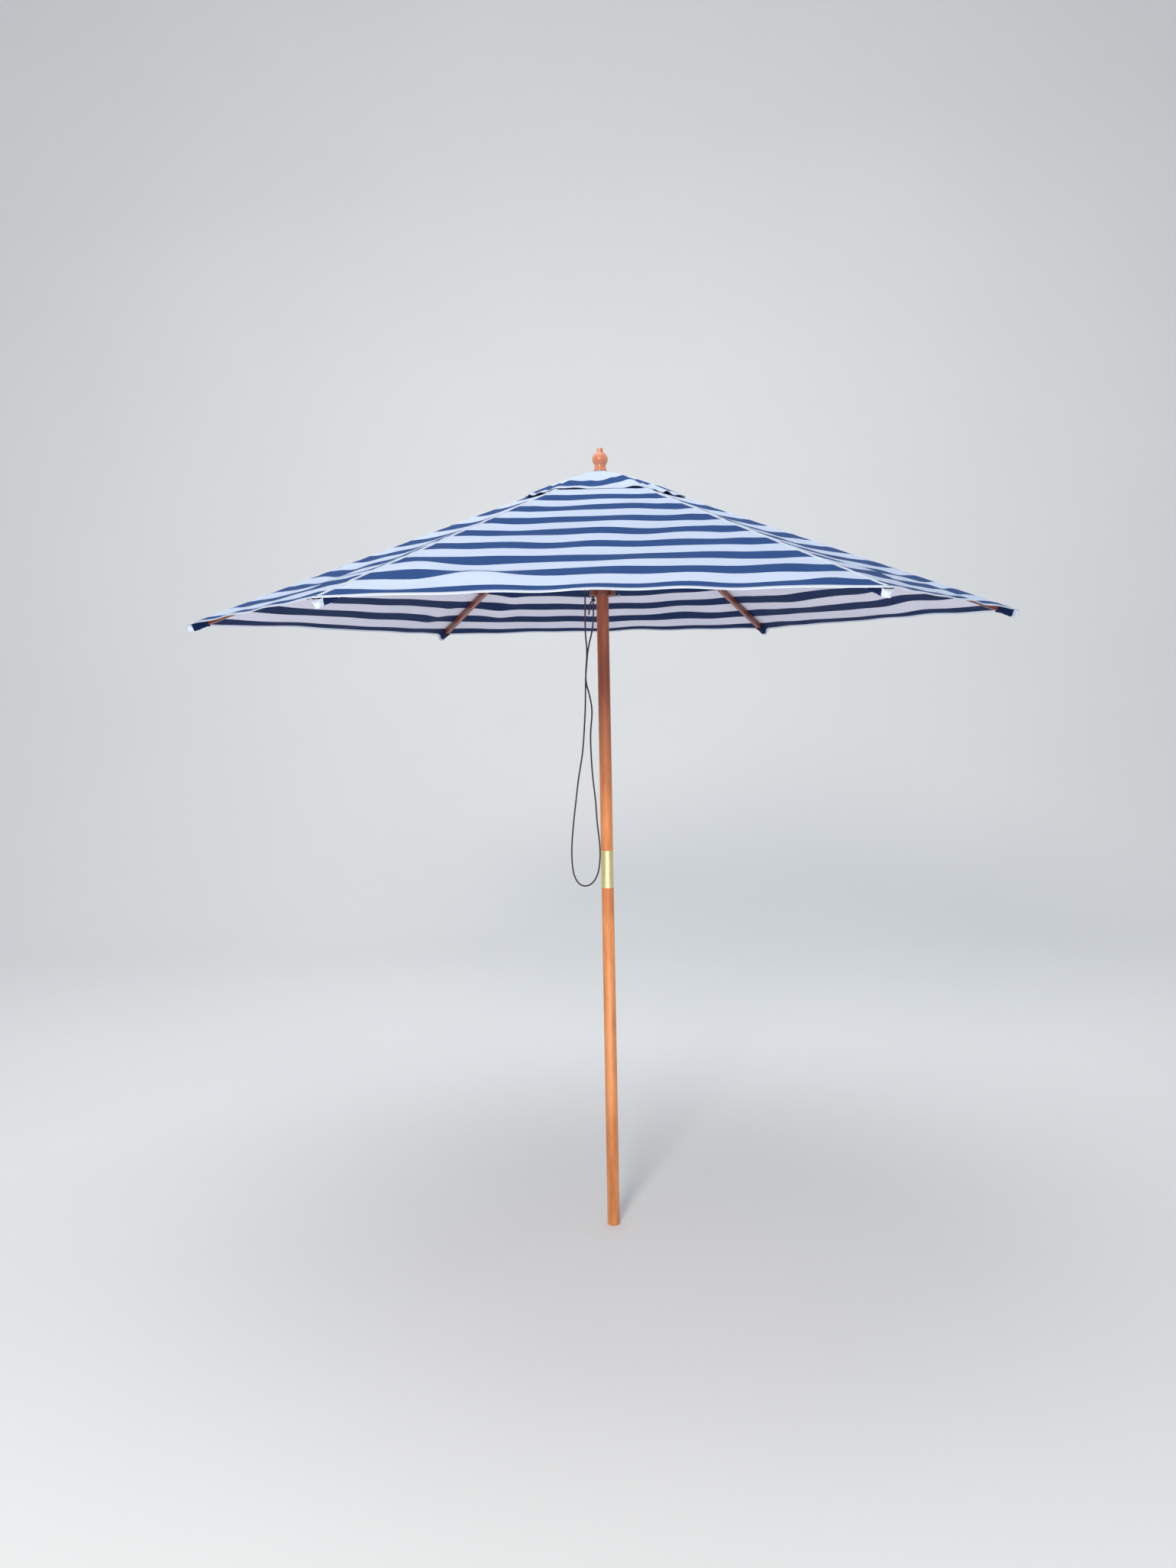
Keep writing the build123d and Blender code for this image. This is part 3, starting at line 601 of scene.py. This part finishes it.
def cloth_solid(name, points, normals, cloth, materials):
    """A thin sheet with an upper face, an under face and a rim. Points are a grid."""
    rows, columns = points.shape[:2]
    count = rows * columns
    top, low = points.reshape(-1, 3), (points - normals * CLOTH).reshape(-1, 3)
    turned = np.cross(points[1, 0] - points[0, 0], points[0, 1] - points[0, 0])[2] < 0
    faces = grid_faces(rows, columns, 0, not turned) + grid_faces(rows, columns, count, turned)
    upper_count = len(faces) // 2
    rim = [row * columns for row in range(rows)]
    rim += [(rows - 1) * columns + column for column in range(1, columns)]
    rim += [row * columns + columns - 1 for row in range(rows - 2, -1, -1)]
    rim += list(range(columns - 2, 0, -1))
    for a, b in zip(rim, rim[1:] + rim[:1]):
        quad = (a, b, b + count, a + count)
        faces.append(quad if turned else quad[::-1])
    kinds = [0] * upper_count + [1] * (len(faces) - upper_count)
    flat_normals = normals.reshape(-1, 3)
    flat_cloth = cloth.reshape(-1, 3)
    return make_piece(
        name, np.concatenate([top, low]), faces, materials, kinds,
        np.concatenate([flat_cloth, flat_cloth]), np.concatenate([flat_normals, -flat_normals]),
    )


def fold_with_rib(piece, rib):
    """The piece rides its rib, on a mesh of its own."""
    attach(piece, f"rib_{rib + 1}")
    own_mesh(piece)


def columns_from_rib(count):
    """Shares from the rib, 1, to the panel's middle, 0, closer together beside the rib."""
    return 1 - np.linspace(0, 1, count) ** 1.35


def half_panel(rib, side):
    """(panel, sign of the rib's side along that panel's hem)."""
    panel = rib if side > 0 else (rib - 1) % RIB_COUNT
    return panel, -side


def canopy_half(rib, side, materials, binding):
    panel, sign = half_panel(rib, side)
    share = np.tile(columns_from_rib(GORE_COLUMNS), (GORE_ROWS, 1))
    edge = TIP_R * cos(HALF_SECTOR) - HEM_DIP * (1 - share**2)
    hole = HOLE_R * cos(HALF_SECTOR)
    out = np.linspace(0, 1, GORE_ROWS)[:, None]
    rho = hole + out * (edge - hole)
    along = sign * share * rho * SIDE
    points = canopy_point(panel, rho, along)
    step = 0.0005  # between the points whose differences give the normals
    inside = np.clip(along, -rho * SIDE + step, rho * SIDE - step)
    inward = canopy_point(panel, rho - step, inside)
    base = canopy_point(panel, rho, inside)
    aside = canopy_point(panel, rho, np.clip(along - sign * step, -rho * SIDE, rho * SIDE))
    normals = np.cross(base - inward, base - aside)
    normals /= np.maximum(np.linalg.norm(normals, axis=-1, keepdims=True), 1e-15)
    normals = np.where(normals[..., 2:3] < 0, -normals, normals)
    cloth = np.stack([along, rho, np.zeros_like(rho)], axis=-1)
    side_name = "left" if side > 0 else "right"
    piece = cloth_solid(f"canopy_{rib + 1}_{side_name}", points, normals, cloth, materials)
    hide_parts(f"canopy_gore_{rib + 1}")
    fold_with_rib(piece, rib)
    hem = hem_half(f"hem_{rib + 1}_{side_name}", points, normals, rib, binding)
    return piece, hem


def vent_half(rib, side, materials, binding):
    panel, sign = half_panel(rib, side)
    share = sign * np.tile(np.linspace(1, 0, VENT_COLUMNS), (VENT_ROWS, 1))
    out = np.tile(np.linspace(0, 1, VENT_ROWS)[:, None], (1, VENT_COLUMNS))
    points, level, along = vent_point(panel, out, share)
    normals = surface_normals(points)
    cloth = np.stack([along, level, np.zeros_like(level)], axis=-1)
    side_name = "left" if side > 0 else "right"
    piece = cloth_solid(f"vent_{rib + 1}_{side_name}", points, normals, cloth, materials)
    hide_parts(f"vent_gore_{rib + 1}")
    fold_with_rib(piece, rib)
    hem = hem_half(
        f"vent_hem_{rib + 1}_{side_name}", points, normals, rib, binding, VENT_HEM_WIDTH
    )
    return piece, hem


def run_along(points):
    """The distance travelled at each point of a polyline."""
    return np.concatenate([[0], np.cumsum(np.linalg.norm(np.diff(points, axis=0), axis=1))])


def swept(name, centres, sides, ups, section, material):
    """A strip whose open section, points of (aside, up), is carried along a line."""
    rows = [centres + sides * aside + ups * up for aside, up in section]
    shape = (len(centres), len(section))
    cloth = np.zeros((*shape, 3))
    cloth[..., 0] = [aside for aside, _ in section]
    cloth[..., 1] = run_along(centres)[:, None]
    points = np.stack(rows, axis=1).reshape(-1, 3)
    return make_piece(name, points, grid_faces(*shape), [material], cloth=cloth.reshape(-1, 3))


def ribbon(name, centres, ups, sides, half_width, height, material, sink):
    """A flat tape that lies on a surface, with rounded edges. centres is its middle line."""
    profile = [
        (-1.0, -sink), (-0.97, 0.55 * height), (-0.8, height), (0.0, height * 1.05),
        (0.8, height), (0.97, 0.55 * height), (1.0, -sink),
    ]
    return swept(name, centres, sides, ups, [(across * half_width, up) for across, up in profile], material)


HEM_WIDTH = 0.013
HEM_THICK = 0.0009
VENT_HEM_WIDTH = 0.007


def hem_half(name, points, normals, rib, material, width=HEM_WIDTH):
    """A binding folded over the hem of a half gore. points are the last rows of its grid."""
    edge, inner = points[-1], points[-2]
    outward = edge - inner
    outward /= np.linalg.norm(outward, axis=-1, keepdims=True)
    up = normals[-1]
    section = [
        (-1.0, -0.0002), (-0.96, HEM_THICK), (-0.1, HEM_THICK), (0.05, 0.2 * HEM_THICK),
        (0.05, -CLOTH - 0.2 * HEM_THICK), (-0.1, -CLOTH - HEM_THICK), (-0.96, -CLOTH - HEM_THICK),
        (-1.0, -CLOTH + 0.0002),
    ]
    piece = swept(name, edge, outward, up, [(out * width, rise) for out, rise in section], material)
    fold_with_rib(piece, rib)
    return piece


# ---------------------------------------------------------------- seams, pockets and crown patch
TAPE_HALF = 0.0055
TAPE_THICK = 0.0010
TAPE_SINK = 0.0012
TAPE_LIFT = 0.0004
TAPE_POINTS = 260


def ridge_points(azimuth, radii, lift):
    """Points over a rib, on the canopy's ridge line."""
    heights = APEX_Z - RIDGE_SLOPE * radii
    up = along_rib(azimuth)[1]
    return unit(azimuth) * radii[:, None] + UP * heights[:, None] + up * lift


def seam_tape(rib, material):
    """The raised tape sewn over the seam along a rib, with a slight waver."""
    azimuth = AZIMUTHS[rib]
    radii = np.linspace(HOLE_R + 0.004, TIP_R - 0.010, TAPE_POINTS)
    chance = np.random.default_rng(40 + rib)
    phase = chance.uniform(0, 6, 3)
    waver = 0.0012 * np.sin(radii * 21 + phase[0]) + 0.0006 * np.sin(radii * 57 + phase[1])
    tangent = unit(azimuth + pi / 2)
    centres = ridge_points(azimuth, radii, 0.0001) + tangent * waver[:, None]
    puffed = 0.0004 * np.sin(radii * 140 + phase[2])
    up = along_rib(azimuth)[1]
    centres = centres + up * (TAPE_LIFT + puffed)[:, None]
    ups = np.tile(up, (len(radii), 1))
    sides = np.tile(tangent, (len(radii), 1))
    piece = ribbon(f"seam_tape_{rib + 1}", centres, ups, sides, TAPE_HALF, TAPE_THICK, material, TAPE_SINK)
    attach(piece, f"rib_{rib + 1}")
    return piece


POCKET_ROWS = 34
POCKET_WING = 0.0085
POCKET_CAP = 0.016  # length of the bound end
POCKET_ARC_POINTS = 25
POCKET_SQUARE = 0.42  # 1 is a round section, less is squarer
POCKET_MOUTH = 0.0012  # how much the open end flares
POCKET_BULGE = 0.0022  # the closed end's middle


def tip_pocket(rib, materials):
    """The sewn pocket on a rib's end: a cloth sleeve with wings along the canopy and a bound end."""
    low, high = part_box("tip_pocket_1")
    extent_x, extent_z = high.x - low.x, high.z - low.z
    turn = cos(TILT) ** 2 - sin(TILT) ** 2
    length = (extent_x * cos(TILT) - extent_z * sin(TILT)) / turn
    depth = (extent_z * cos(TILT) - extent_x * sin(TILT)) / turn
    azimuth = AZIMUTHS[rib]
    far_top = unit(azimuth) * high.x + UP * (high.z - length * sin(TILT))
    along, up = along_rib(azimuth)
    tangent = unit(azimuth + pi / 2)
    half = high.y - 0.0008
    chance = np.random.default_rng(70 + rib)
    phase = chance.uniform(0, 6, 4)
    section = []
    for turn_share in np.linspace(0, 1, POCKET_ARC_POINTS):
        angle = pi * turn_share
        squared = abs(cos(angle)) ** POCKET_SQUARE * (1 if cos(angle) > 0 else -1)
        section.append((squared * half, -(abs(sin(angle)) ** POCKET_SQUARE) * depth))
    wings = [(half + POCKET_WING, -0.0006), (half + 0.5 * POCKET_WING, -0.0016), (half + 0.0012, -0.0022)]
    outline = wings + section[1:-1] + [(-x, z) for x, z in wings[::-1]]
    rows, cloth = [], []
    for row in range(POCKET_ROWS):
        share = row / (POCKET_ROWS - 1)
        back = (1 - share) * length
        mouth = POCKET_MOUTH * max(0.0, 1 - share * 6)
        slack = 1.02 + 0.025 * sin(9 * share + phase[0]) + 0.015 * sin(23 * share + phase[1])
        ring = []
        for x, z in outline:
            droop = slack if abs(x) <= half else 1.0
            side = x + mouth * np.sign(x) + 0.0005 * sin(5 * share + phase[2]) * np.sign(x)
            ring.append(far_top - along * back + tangent * side + up * (z * droop - mouth * (z < -0.01)))
        rows.append(ring)
        travelled = run_along(np.array(ring))
        cloth.append([(value - 0.5 * travelled[-1], back, 0.0) for value in travelled])
    columns = len(outline)
    points = [point for ring in rows for point in ring]
    flat = [place for ring in cloth for place in ring]
    faces = grid_faces(POCKET_ROWS, columns)
    kinds = []
    for row in range(POCKET_ROWS - 1):
        bound = (1 - row / (POCKET_ROWS - 1)) * length < POCKET_CAP
        kinds += [1 if bound else 0] * (columns - 1)
    last = (POCKET_ROWS - 1) * columns
    middle = np.mean(points[last:last + columns], axis=0) + along * POCKET_BULGE
    points.append(middle)
    flat.append((0.0, -0.01, 0.0))
    faces += [(last + n, last + (n + 1) % columns, len(points) - 1) for n in range(columns)]
    kinds += [1] * columns
    piece = make_piece(f"tip_pocket_{rib + 1}_sewn", points, faces, materials, kinds, flat)
    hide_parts(f"tip_pocket_{rib + 1}")
    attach(piece, f"rib_{rib + 1}")
    return piece


PATCH_R = 0.043
PATCH_ROWS = 14
PATCH_COLUMNS = 96
PATCH_INNER_R = 0.0105
PATCH_LIFT = 0.0012
UNDER_FINIAL_R = 0.024


def crown_patch(material):
    """The round reinforcement sewn round the foot of the finial."""
    points, cloth = [], []
    for row in range(PATCH_ROWS):
        share = row / (PATCH_ROWS - 1)
        for column in range(PATCH_COLUMNS):
            angle = 2 * pi * column / PATCH_COLUMNS
            edge = PATCH_R * (1 + 0.02 * sin(3 * angle + 1))
            reach = PATCH_INNER_R + share * (edge - PATCH_INNER_R)
            top = float(cap_height(np.array([angle]), np.array([reach]))[0])
            lift = PATCH_LIFT + 0.0005 * sin(13 * angle) * share**2
            if row == PATCH_ROWS - 1:
                lift = 0.0002
            height = top + lift
            if reach < UNDER_FINIAL_R:
                height = min(height, finial_low.z - 0.0002)
            points.append((reach * cos(angle), reach * sin(angle), height))
            cloth.append((reach * angle, reach, 0.0))
    faces = []
    for row in range(PATCH_ROWS - 1):
        inner, outer = row * PATCH_COLUMNS, (row + 1) * PATCH_COLUMNS
        for column in range(PATCH_COLUMNS):
            after = (column + 1) % PATCH_COLUMNS
            faces.append((inner + column, outer + column, outer + after, inner + after))
    piece = make_piece("crown_patch", points, faces, [material], cloth=cloth)
    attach(piece, "mast")


# ---------------------------------------------------------------- rope
CORD = 0.005
LAY_LENGTH = 0.014
STRANDS = 3
ROPE_SIDES = 24
ROPE_STEP = 0.0015
ROPE_TRIM = 1.04
STRAND_GROOVE = 0.28  # depth of the groove between strands, as a share of the radius
ROUTE_ORDER = 3
ROUTE_RESOLUTION = 24
KNOT_WIDE = 0.0017
KNOT_LOBE = 1.55
KNOT_HALF_HEIGHT = 0.0034
KNOT_POINTS = 170
TURN_POINTS = 40

LOOP_ROUTE = (
    (-0.053694, -0.031, 1.962), (-0.0545, -0.032, 1.905), (-0.0555, -0.033, 1.842), (-0.050, -0.034, 1.783),
    (-0.056, -0.035, 1.722), (-0.0575, -0.0355, 1.664), (-0.0595, -0.035, 1.602), (-0.064, -0.036, 1.536),
    (-0.070, -0.036, 1.468), (-0.084, -0.036, 1.395), (-0.093, -0.035, 1.325), (-0.102, -0.035, 1.255),
    (-0.109, -0.034, 1.186), (-0.109, -0.034, 1.128), (-0.102, -0.034, 1.086), (-0.083, -0.0345, 1.060),
    (-0.054, -0.035, 1.060), (-0.032, -0.036, 1.086), (-0.022, -0.037, 1.130), (-0.021, -0.038, 1.186),
    (-0.029, -0.038, 1.252), (-0.032, -0.037, 1.322), (-0.040, -0.035, 1.392), (-0.044, -0.033, 1.462),
    (-0.045, -0.031, 1.535), (-0.037, -0.029, 1.600), (-0.045, -0.0285, 1.650), (-0.058, -0.027, 1.694),
    (-0.053, -0.026, 1.744), (-0.0475, -0.025, 1.797), (-0.033, -0.0195, 1.850), (-0.028579, -0.0165, 1.897),
    (-0.028579, -0.0165, 1.9385),
)
UPPER_AZIMUTH = radians(30)
UPPER_TURN_R = 0.0255
UPPER_TURN_Z = (wheel_low.z + wheel_high.z) / 2
UPPER_UP = ((0.033, 1.988), (0.033, 2.025), (UPPER_TURN_R, 2.090), (UPPER_TURN_R, UPPER_TURN_Z))
UPPER_DOWN = ((-UPPER_TURN_R, 2.187), (-0.062, 2.029), (-0.062, 1.9622))
KNOT_PLACE = Vector((-0.028579, -0.0165, 1.945))
STEM_TOP_Z = 1.979
TAIL_ROUTE = (
    (KNOT_PLACE.x, KNOT_PLACE.y, 1.943), (-0.0334, -0.0187, 1.942), (-0.040, -0.0218, 1.930),
    (-0.0434, -0.023, 1.899),
)


def spline_points(route):
    """Points at even steps along a NURBS curve of Blender's own, read from the curve."""
    curve = bpy.data.curves.new("route", "CURVE")
    curve.dimensions = "3D"
    curve.resolution_u = ROUTE_RESOLUTION
    spline = curve.splines.new("NURBS")
    spline.points.add(len(route) - 1)
    for point, place in zip(spline.points, route):
        point.co = (*place, 1.0)
    spline.order_u = ROUTE_ORDER
    spline.use_endpoint_u = True
    holder = bpy.data.objects.new("route", curve)
    bpy.context.scene.collection.objects.link(holder)
    bpy.context.view_layer.update()
    mesh = bpy.data.meshes.new_from_object(holder.evaluated_get(bpy.context.evaluated_depsgraph_get()))
    read = np.array([tuple(vertex.co) for vertex in mesh.vertices])
    bpy.data.meshes.remove(mesh)
    bpy.data.objects.remove(holder)
    bpy.data.curves.remove(curve)
    return even_points(read)


def even_points(points):
    """Points ROPE_STEP apart along a polyline."""
    run = run_along(points)
    count = max(2, int(run[-1] / ROPE_STEP))
    at = np.linspace(0, run[-1], count)
    return np.stack([np.interp(at, run, points[:, axis]) for axis in range(3)], axis=1)


def laid_rope(path, start_twist=0.0, caps=True):
    """Points, faces and cloth places of a rope of three strands twisted round a path."""
    tangents = np.gradient(path, axis=0)
    tangents /= np.linalg.norm(tangents, axis=1, keepdims=True)
    side = np.cross(tangents[0], (0.31, 0.72, 0.62))
    side /= np.linalg.norm(side)
    run = run_along(path)
    points, cloth = [], []
    angles = np.linspace(0, 2 * pi, ROPE_SIDES, endpoint=False)
    for place, tangent, travelled in zip(path, tangents, run):
        side = side - tangent * np.dot(side, tangent)
        side /= np.linalg.norm(side)
        other = np.cross(tangent, side)
        twist = 2 * pi * travelled / LAY_LENGTH + start_twist
        lobe = np.abs(np.cos((angles - twist) * STRANDS / 2)) ** 0.8
        reach = CORD / 2 * ROPE_TRIM * (1 - STRAND_GROOVE + STRAND_GROOVE * lobe)
        ring = place + np.outer(np.cos(angles) * reach, side) + np.outer(np.sin(angles) * reach, other)
        points.extend(ring)
        strand_turn = (angles - twist) / (2 * pi)
        cloth.extend((turn, travelled, 0.0) for turn in strand_turn)
    rings = len(path)
    faces = []
    for row in range(rings - 1):
        for column in range(ROPE_SIDES):
            after = (column + 1) % ROPE_SIDES
            base, upper = row * ROPE_SIDES, (row + 1) * ROPE_SIDES
            faces.append((base + column, base + after, upper + after, upper + column))
    if caps:
        faces.append(tuple(range(ROPE_SIDES))[::-1])
        faces.append(tuple((rings - 1) * ROPE_SIDES + n for n in range(ROPE_SIDES)))
    return points, faces, cloth


def knot_path():
    """A tight overhand knot: a trefoil, squeezed along its axis."""
    turns = np.linspace(0, 2 * pi, KNOT_POINTS)
    across = KNOT_WIDE * (np.sin(turns) + KNOT_LOBE * np.sin(2 * turns))
    deep = KNOT_WIDE * (np.cos(turns) - KNOT_LOBE * np.cos(2 * turns))
    return np.stack([across, deep, -KNOT_HALF_HEIGHT * np.sin(3 * turns)], axis=1) + np.array(KNOT_PLACE)


def ropes(material):
    """The hanging loop, its knot with stem and tail, and the run over the pulley."""
    loop_path = spline_points(LOOP_ROUTE)
    loop_points, loop_faces, loop_cloth = laid_rope(loop_path)
    loop = make_piece("lift_rope_loop", loop_points, loop_faces, [material], cloth=loop_cloth)
    knot_points, knot_faces, knot_cloth = laid_rope(knot_path(), caps=False)
    stem_heights = np.linspace(KNOT_PLACE.z - 0.004, STEM_TOP_Z, 24)
    stem = np.array([(KNOT_PLACE.x, KNOT_PLACE.y, height) for height in stem_heights])
    for path in (stem, spline_points(TAIL_ROUTE)):
        more_points, more_faces, more_cloth = laid_rope(path, 1.0)
        start = len(knot_points)
        knot_points = list(knot_points) + list(more_points)
        knot_faces += [tuple(index + start for index in face) for face in more_faces]
        knot_cloth += more_cloth
    knot = make_piece("lift_rope_knot", knot_points, knot_faces, [material], cloth=knot_cloth)
    outward = unit(UPPER_AZIMUTH)
    turn = [
        (UPPER_TURN_R * cos(angle), UPPER_TURN_Z + UPPER_TURN_R * sin(angle))
        for angle in np.linspace(0, pi, TURN_POINTS)
    ]
    flat_route = np.array([*UPPER_UP[:-1], *turn, *UPPER_DOWN])
    route = np.outer(flat_route[:, 0], outward) + np.outer(flat_route[:, 1], (0, 0, 1.0))
    upper_path = even_points(route)
    upper_points, upper_faces, upper_cloth = laid_rope(upper_path)
    upper = make_piece("lift_rope_upper", upper_points, upper_faces, [material], cloth=upper_cloth)
    for piece, node in ((loop, "lift_cord_loop"), (knot, "cord_knot"), (upper, "lift_cord_upper")):
        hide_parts(node)
    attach(loop, "runner")
    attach(knot, "runner")
    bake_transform(upper)


def cloth_pieces():
    """Canopy, vent cap, seam tapes, pockets and crown patch. Each sheet takes its trimmings along."""
    canopy_cloths = [
        striped_cloth("canopy_top", NAVY, WHITE, LAST_NAVY),
        # the under faces carry painted shade on their navy and painted light on their white
        striped_cloth("canopy_under_painted_light_and_shade", NAVY_UNDER_PAINTED_SHADE, WHITE_UNDER_PAINTED_LIGHT, LAST_NAVY),
    ]
    vent_cloths = [
        striped_cloth("vent_top", NAVY, WHITE, VENT_NAVY),
        striped_cloth("vent_under_painted_light_and_shade", NAVY_UNDER_PAINTED_SHADE, WHITE_UNDER_PAINTED_LIGHT, VENT_NAVY),
    ]
    binding = stitched_cloth("binding", BINDING, (0.35 * HEM_WIDTH, 0.8 * HEM_WIDTH))
    tape = stitched_cloth("seam_tape", BINDING, (0.7 * TAPE_HALF,))
    # the pocket's navy is its own colour, darkened with painted shade: it takes the under face's navy
    pocket_cloth = plain_cloth("pocket", NAVY_UNDER_PAINTED_SHADE)
    for rib in range(RIB_COUNT):
        seam = seam_tape(rib, tape)
        pocket = tip_pocket(rib, [pocket_cloth, binding])
        for side in (1, -1):
            canopy, canopy_hem = canopy_half(rib, side, canopy_cloths, binding)
            vent, vent_hem = vent_half(rib, side, vent_cloths, binding)
    crown_patch(plain_cloth("crown_patch", WHITE))


POLE_LIGHT = color(0.80, 0.305, 0.092)
POLE_DARK = color(0.52, 0.155, 0.036)
# painted shade: the upper pole's wood turns to these darker colours towards the canopy, standing for its
# shadow
SHADED_LIGHT = color(0.44, 0.120, 0.048)
SHADED_DARK = color(0.25, 0.053, 0.020)
SHADE_BELOW_RUNNER = 0.25  # the painted shade of the canopy on the upper pole is darkest from here up
# the bars' dark red-brown is partly their own stain and partly painted shade under the canopy; the hub and
# runner take it too
BAR_STAIN_AND_SHADE_LIGHT = color(0.270, 0.070, 0.042)
BAR_STAIN_AND_SHADE_DARK = color(0.120, 0.026, 0.017)
TURNED_LIGHT = color(0.82, 0.35, 0.19)
TURNED_DARK = color(0.58, 0.19, 0.085)
STRUT_TILT = radians(22.7095)  # as in the CAD, with the umbrella open


def paint(node, material):
    """A CAD node that is kept gets a better finish."""
    for holder in bpy.data.objects:
        if holder.get("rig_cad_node") == node:
            for place in holder.material_slots:
                place.material = material


def paint_kept_nodes():
    """Wood, metal and nylon on every CAD node that stays in the picture."""
    upright = (0, 0, 1)
    pole = wood("pole_varnish", upright, POLE_LIGHT, POLE_DARK, 0.36)
    # the upper pole carries painted shade: it darkens from the ferrule's foot up to below the runner
    shaded = (SHADED_LIGHT, SHADED_DARK, ferrule_low.z, runner_low.z - SHADE_BELOW_RUNNER)
    upper_pole = wood("upper_pole_varnish_painted_shade", upright, POLE_LIGHT, POLE_DARK, 0.36, shaded)
    turned = wood("turned_varnish", upright, TURNED_LIGHT, TURNED_DARK, 0.34)
    hub = wood("hub_varnish", upright, BAR_STAIN_AND_SHADE_LIGHT, BAR_STAIN_AND_SHADE_DARK, 0.42)
    brass = metal("brushed_brass", color(0.93, 0.80, 0.42), 0.36, (0.02, 0.02, 1.0))
    screws = metal("brass_screws", color(0.72, 0.55, 0.24), 0.36)
    steel = metal("steel", color(0.55, 0.55, 0.56), 0.35)
    bracket = metal("bracket_steel", color(0.42, 0.41, 0.42), 0.42)
    pin = metal("pin_steel", color(0.62, 0.62, 0.63), 0.28, (1.0, 1.0, 1.0))
    nylon = moulded("pulley_nylon", color(0.75, 0.75, 0.72))
    kinds = {
        "lower_pole": pole, "upper_pole": upper_pole, "ferrule": brass, "ferrule_screws": screws,
        "crown_hub": hub, "hub_pins": steel, "pulley_axle": steel, "pulley_wheel": nylon, "finial": turned,
        "finial_stud": steel, "finial_washer": steel, "runner": hub, "runner_pins": steel,
        "hold_open_pin": pin,
    }
    for node, material in kinds.items():
        paint(node, material)
    for rib in range(RIB_COUNT):
        rib_along = along_rib(AZIMUTHS[rib])[0]
        strut_along = unit(AZIMUTHS[rib]) * cos(STRUT_TILT) + UP * sin(STRUT_TILT)
        paint(f"rib_{rib + 1}", wood(f"rib_varnish_{rib + 1}", rib_along, BAR_STAIN_AND_SHADE_LIGHT, BAR_STAIN_AND_SHADE_DARK, 0.40))
        paint(f"strut_{rib + 1}", wood(f"strut_varnish_{rib + 1}", strut_along, BAR_STAIN_AND_SHADE_LIGHT, BAR_STAIN_AND_SHADE_DARK, 0.40))
        paint(f"rib_bracket_{rib + 1}", bracket)
        paint(f"strut_rivet_{rib + 1}", steel)


SWEEP_NEAR_Y = -15.0
SWEEP_FLAT_Y = 4.2
SWEEP_R = 2.6
SWEEP_TOP_Z = 9.0
SWEEP_HALF_WIDTH = 16.0
WORLD_TINT = (0.86, 0.92, 1.0, 1.0)
WORLD_STRENGTH = 0.5
# (name, place, aimed at, diameter, watts, colour)
LIGHTS = (
    ("top_light", (-0.6, 0.4, 6.6), (0.0, 0.0, 1.6), 5.0, 95, (0.86, 0.93, 1.0)),
    ("front_key", (-1.3, -5.7, 3.9), (0.0, 0.0, 1.2), 1.5, 215, (1.0, 0.94, 0.86)),
    ("low_fill", (1.2, -5.4, 0.6), (0.0, 0.3, 2.0), 3.0, 24, (0.98, 0.96, 1.0)),
    ("backdrop_light", (0.0, 1.0, 5.4), (0.0, 6.8, 2.6), 6.0, 62, (1.0, 1.0, 1.0)),
    ("floor_bounce", (0.0, -2.5, 0.05), (0.0, -2.5, 2.0), 2.4, 50, (0.97, 0.97, 1.0)),
)


def make_stage():
    """A pale studio sweep, soft lights and a near-white surround."""
    profile = [(SWEEP_NEAR_Y, 0.0), (SWEEP_FLAT_Y - 0.5, 0.0), (SWEEP_FLAT_Y - 0.1, 0.0), (SWEEP_FLAT_Y, 0.0)]
    for angle in np.linspace(0.05, pi / 2, 30):
        profile.append((SWEEP_FLAT_Y + SWEEP_R * sin(angle), SWEEP_R * (1 - cos(angle))))
    profile.append((SWEEP_FLAT_Y + SWEEP_R, SWEEP_TOP_Z))
    points = [(x, y, z) for y, z in profile for x in (-SWEEP_HALF_WIDTH, SWEEP_HALF_WIDTH)]
    faces = [(2 * n, 2 * n + 1, 2 * n + 3, 2 * n + 2) for n in range(len(profile) - 1)]
    shader = Shader("sweep")
    place = shader.node("TexCoord").outputs["Object"]
    tone = shader.mix(shader.noise(place, 0.8, 3.0), color(0.86, 0.86, 0.85), color(0.90, 0.90, 0.89))
    sweep = make_piece("sweep", points, faces, [shader.finish(tone, 0.9)])
    for name, at, towards, size, power, tint in LIGHTS:
        data = bpy.data.lights.new(name, "AREA")
        data.shape = "DISK"
        data.size = size
        data.energy = power
        data.color = tint
        lamp = bpy.data.objects.new(name, data)
        bpy.context.scene.collection.objects.link(lamp)
        lamp.location = at
        lamp.rotation_euler = (Vector(towards) - Vector(at)).to_track_quat("-Z", "Y").to_euler()
        lamp.visible_camera = False
    world = bpy.data.worlds.new("surround")
    world.use_nodes = True
    background = world.node_tree.nodes["Background"]
    background.inputs["Color"].default_value = WORLD_TINT
    background.inputs["Strength"].default_value = WORLD_STRENGTH
    bpy.context.scene.world = world
    bpy.context.scene.view_settings.view_transform = "Standard"


make_camera()
ropes(rope_fibre("cord", color(0.066, 0.036, 0.036), color(0.020, 0.011, 0.015)))
cloth_pieces()
paint_kept_nodes()
make_stage()
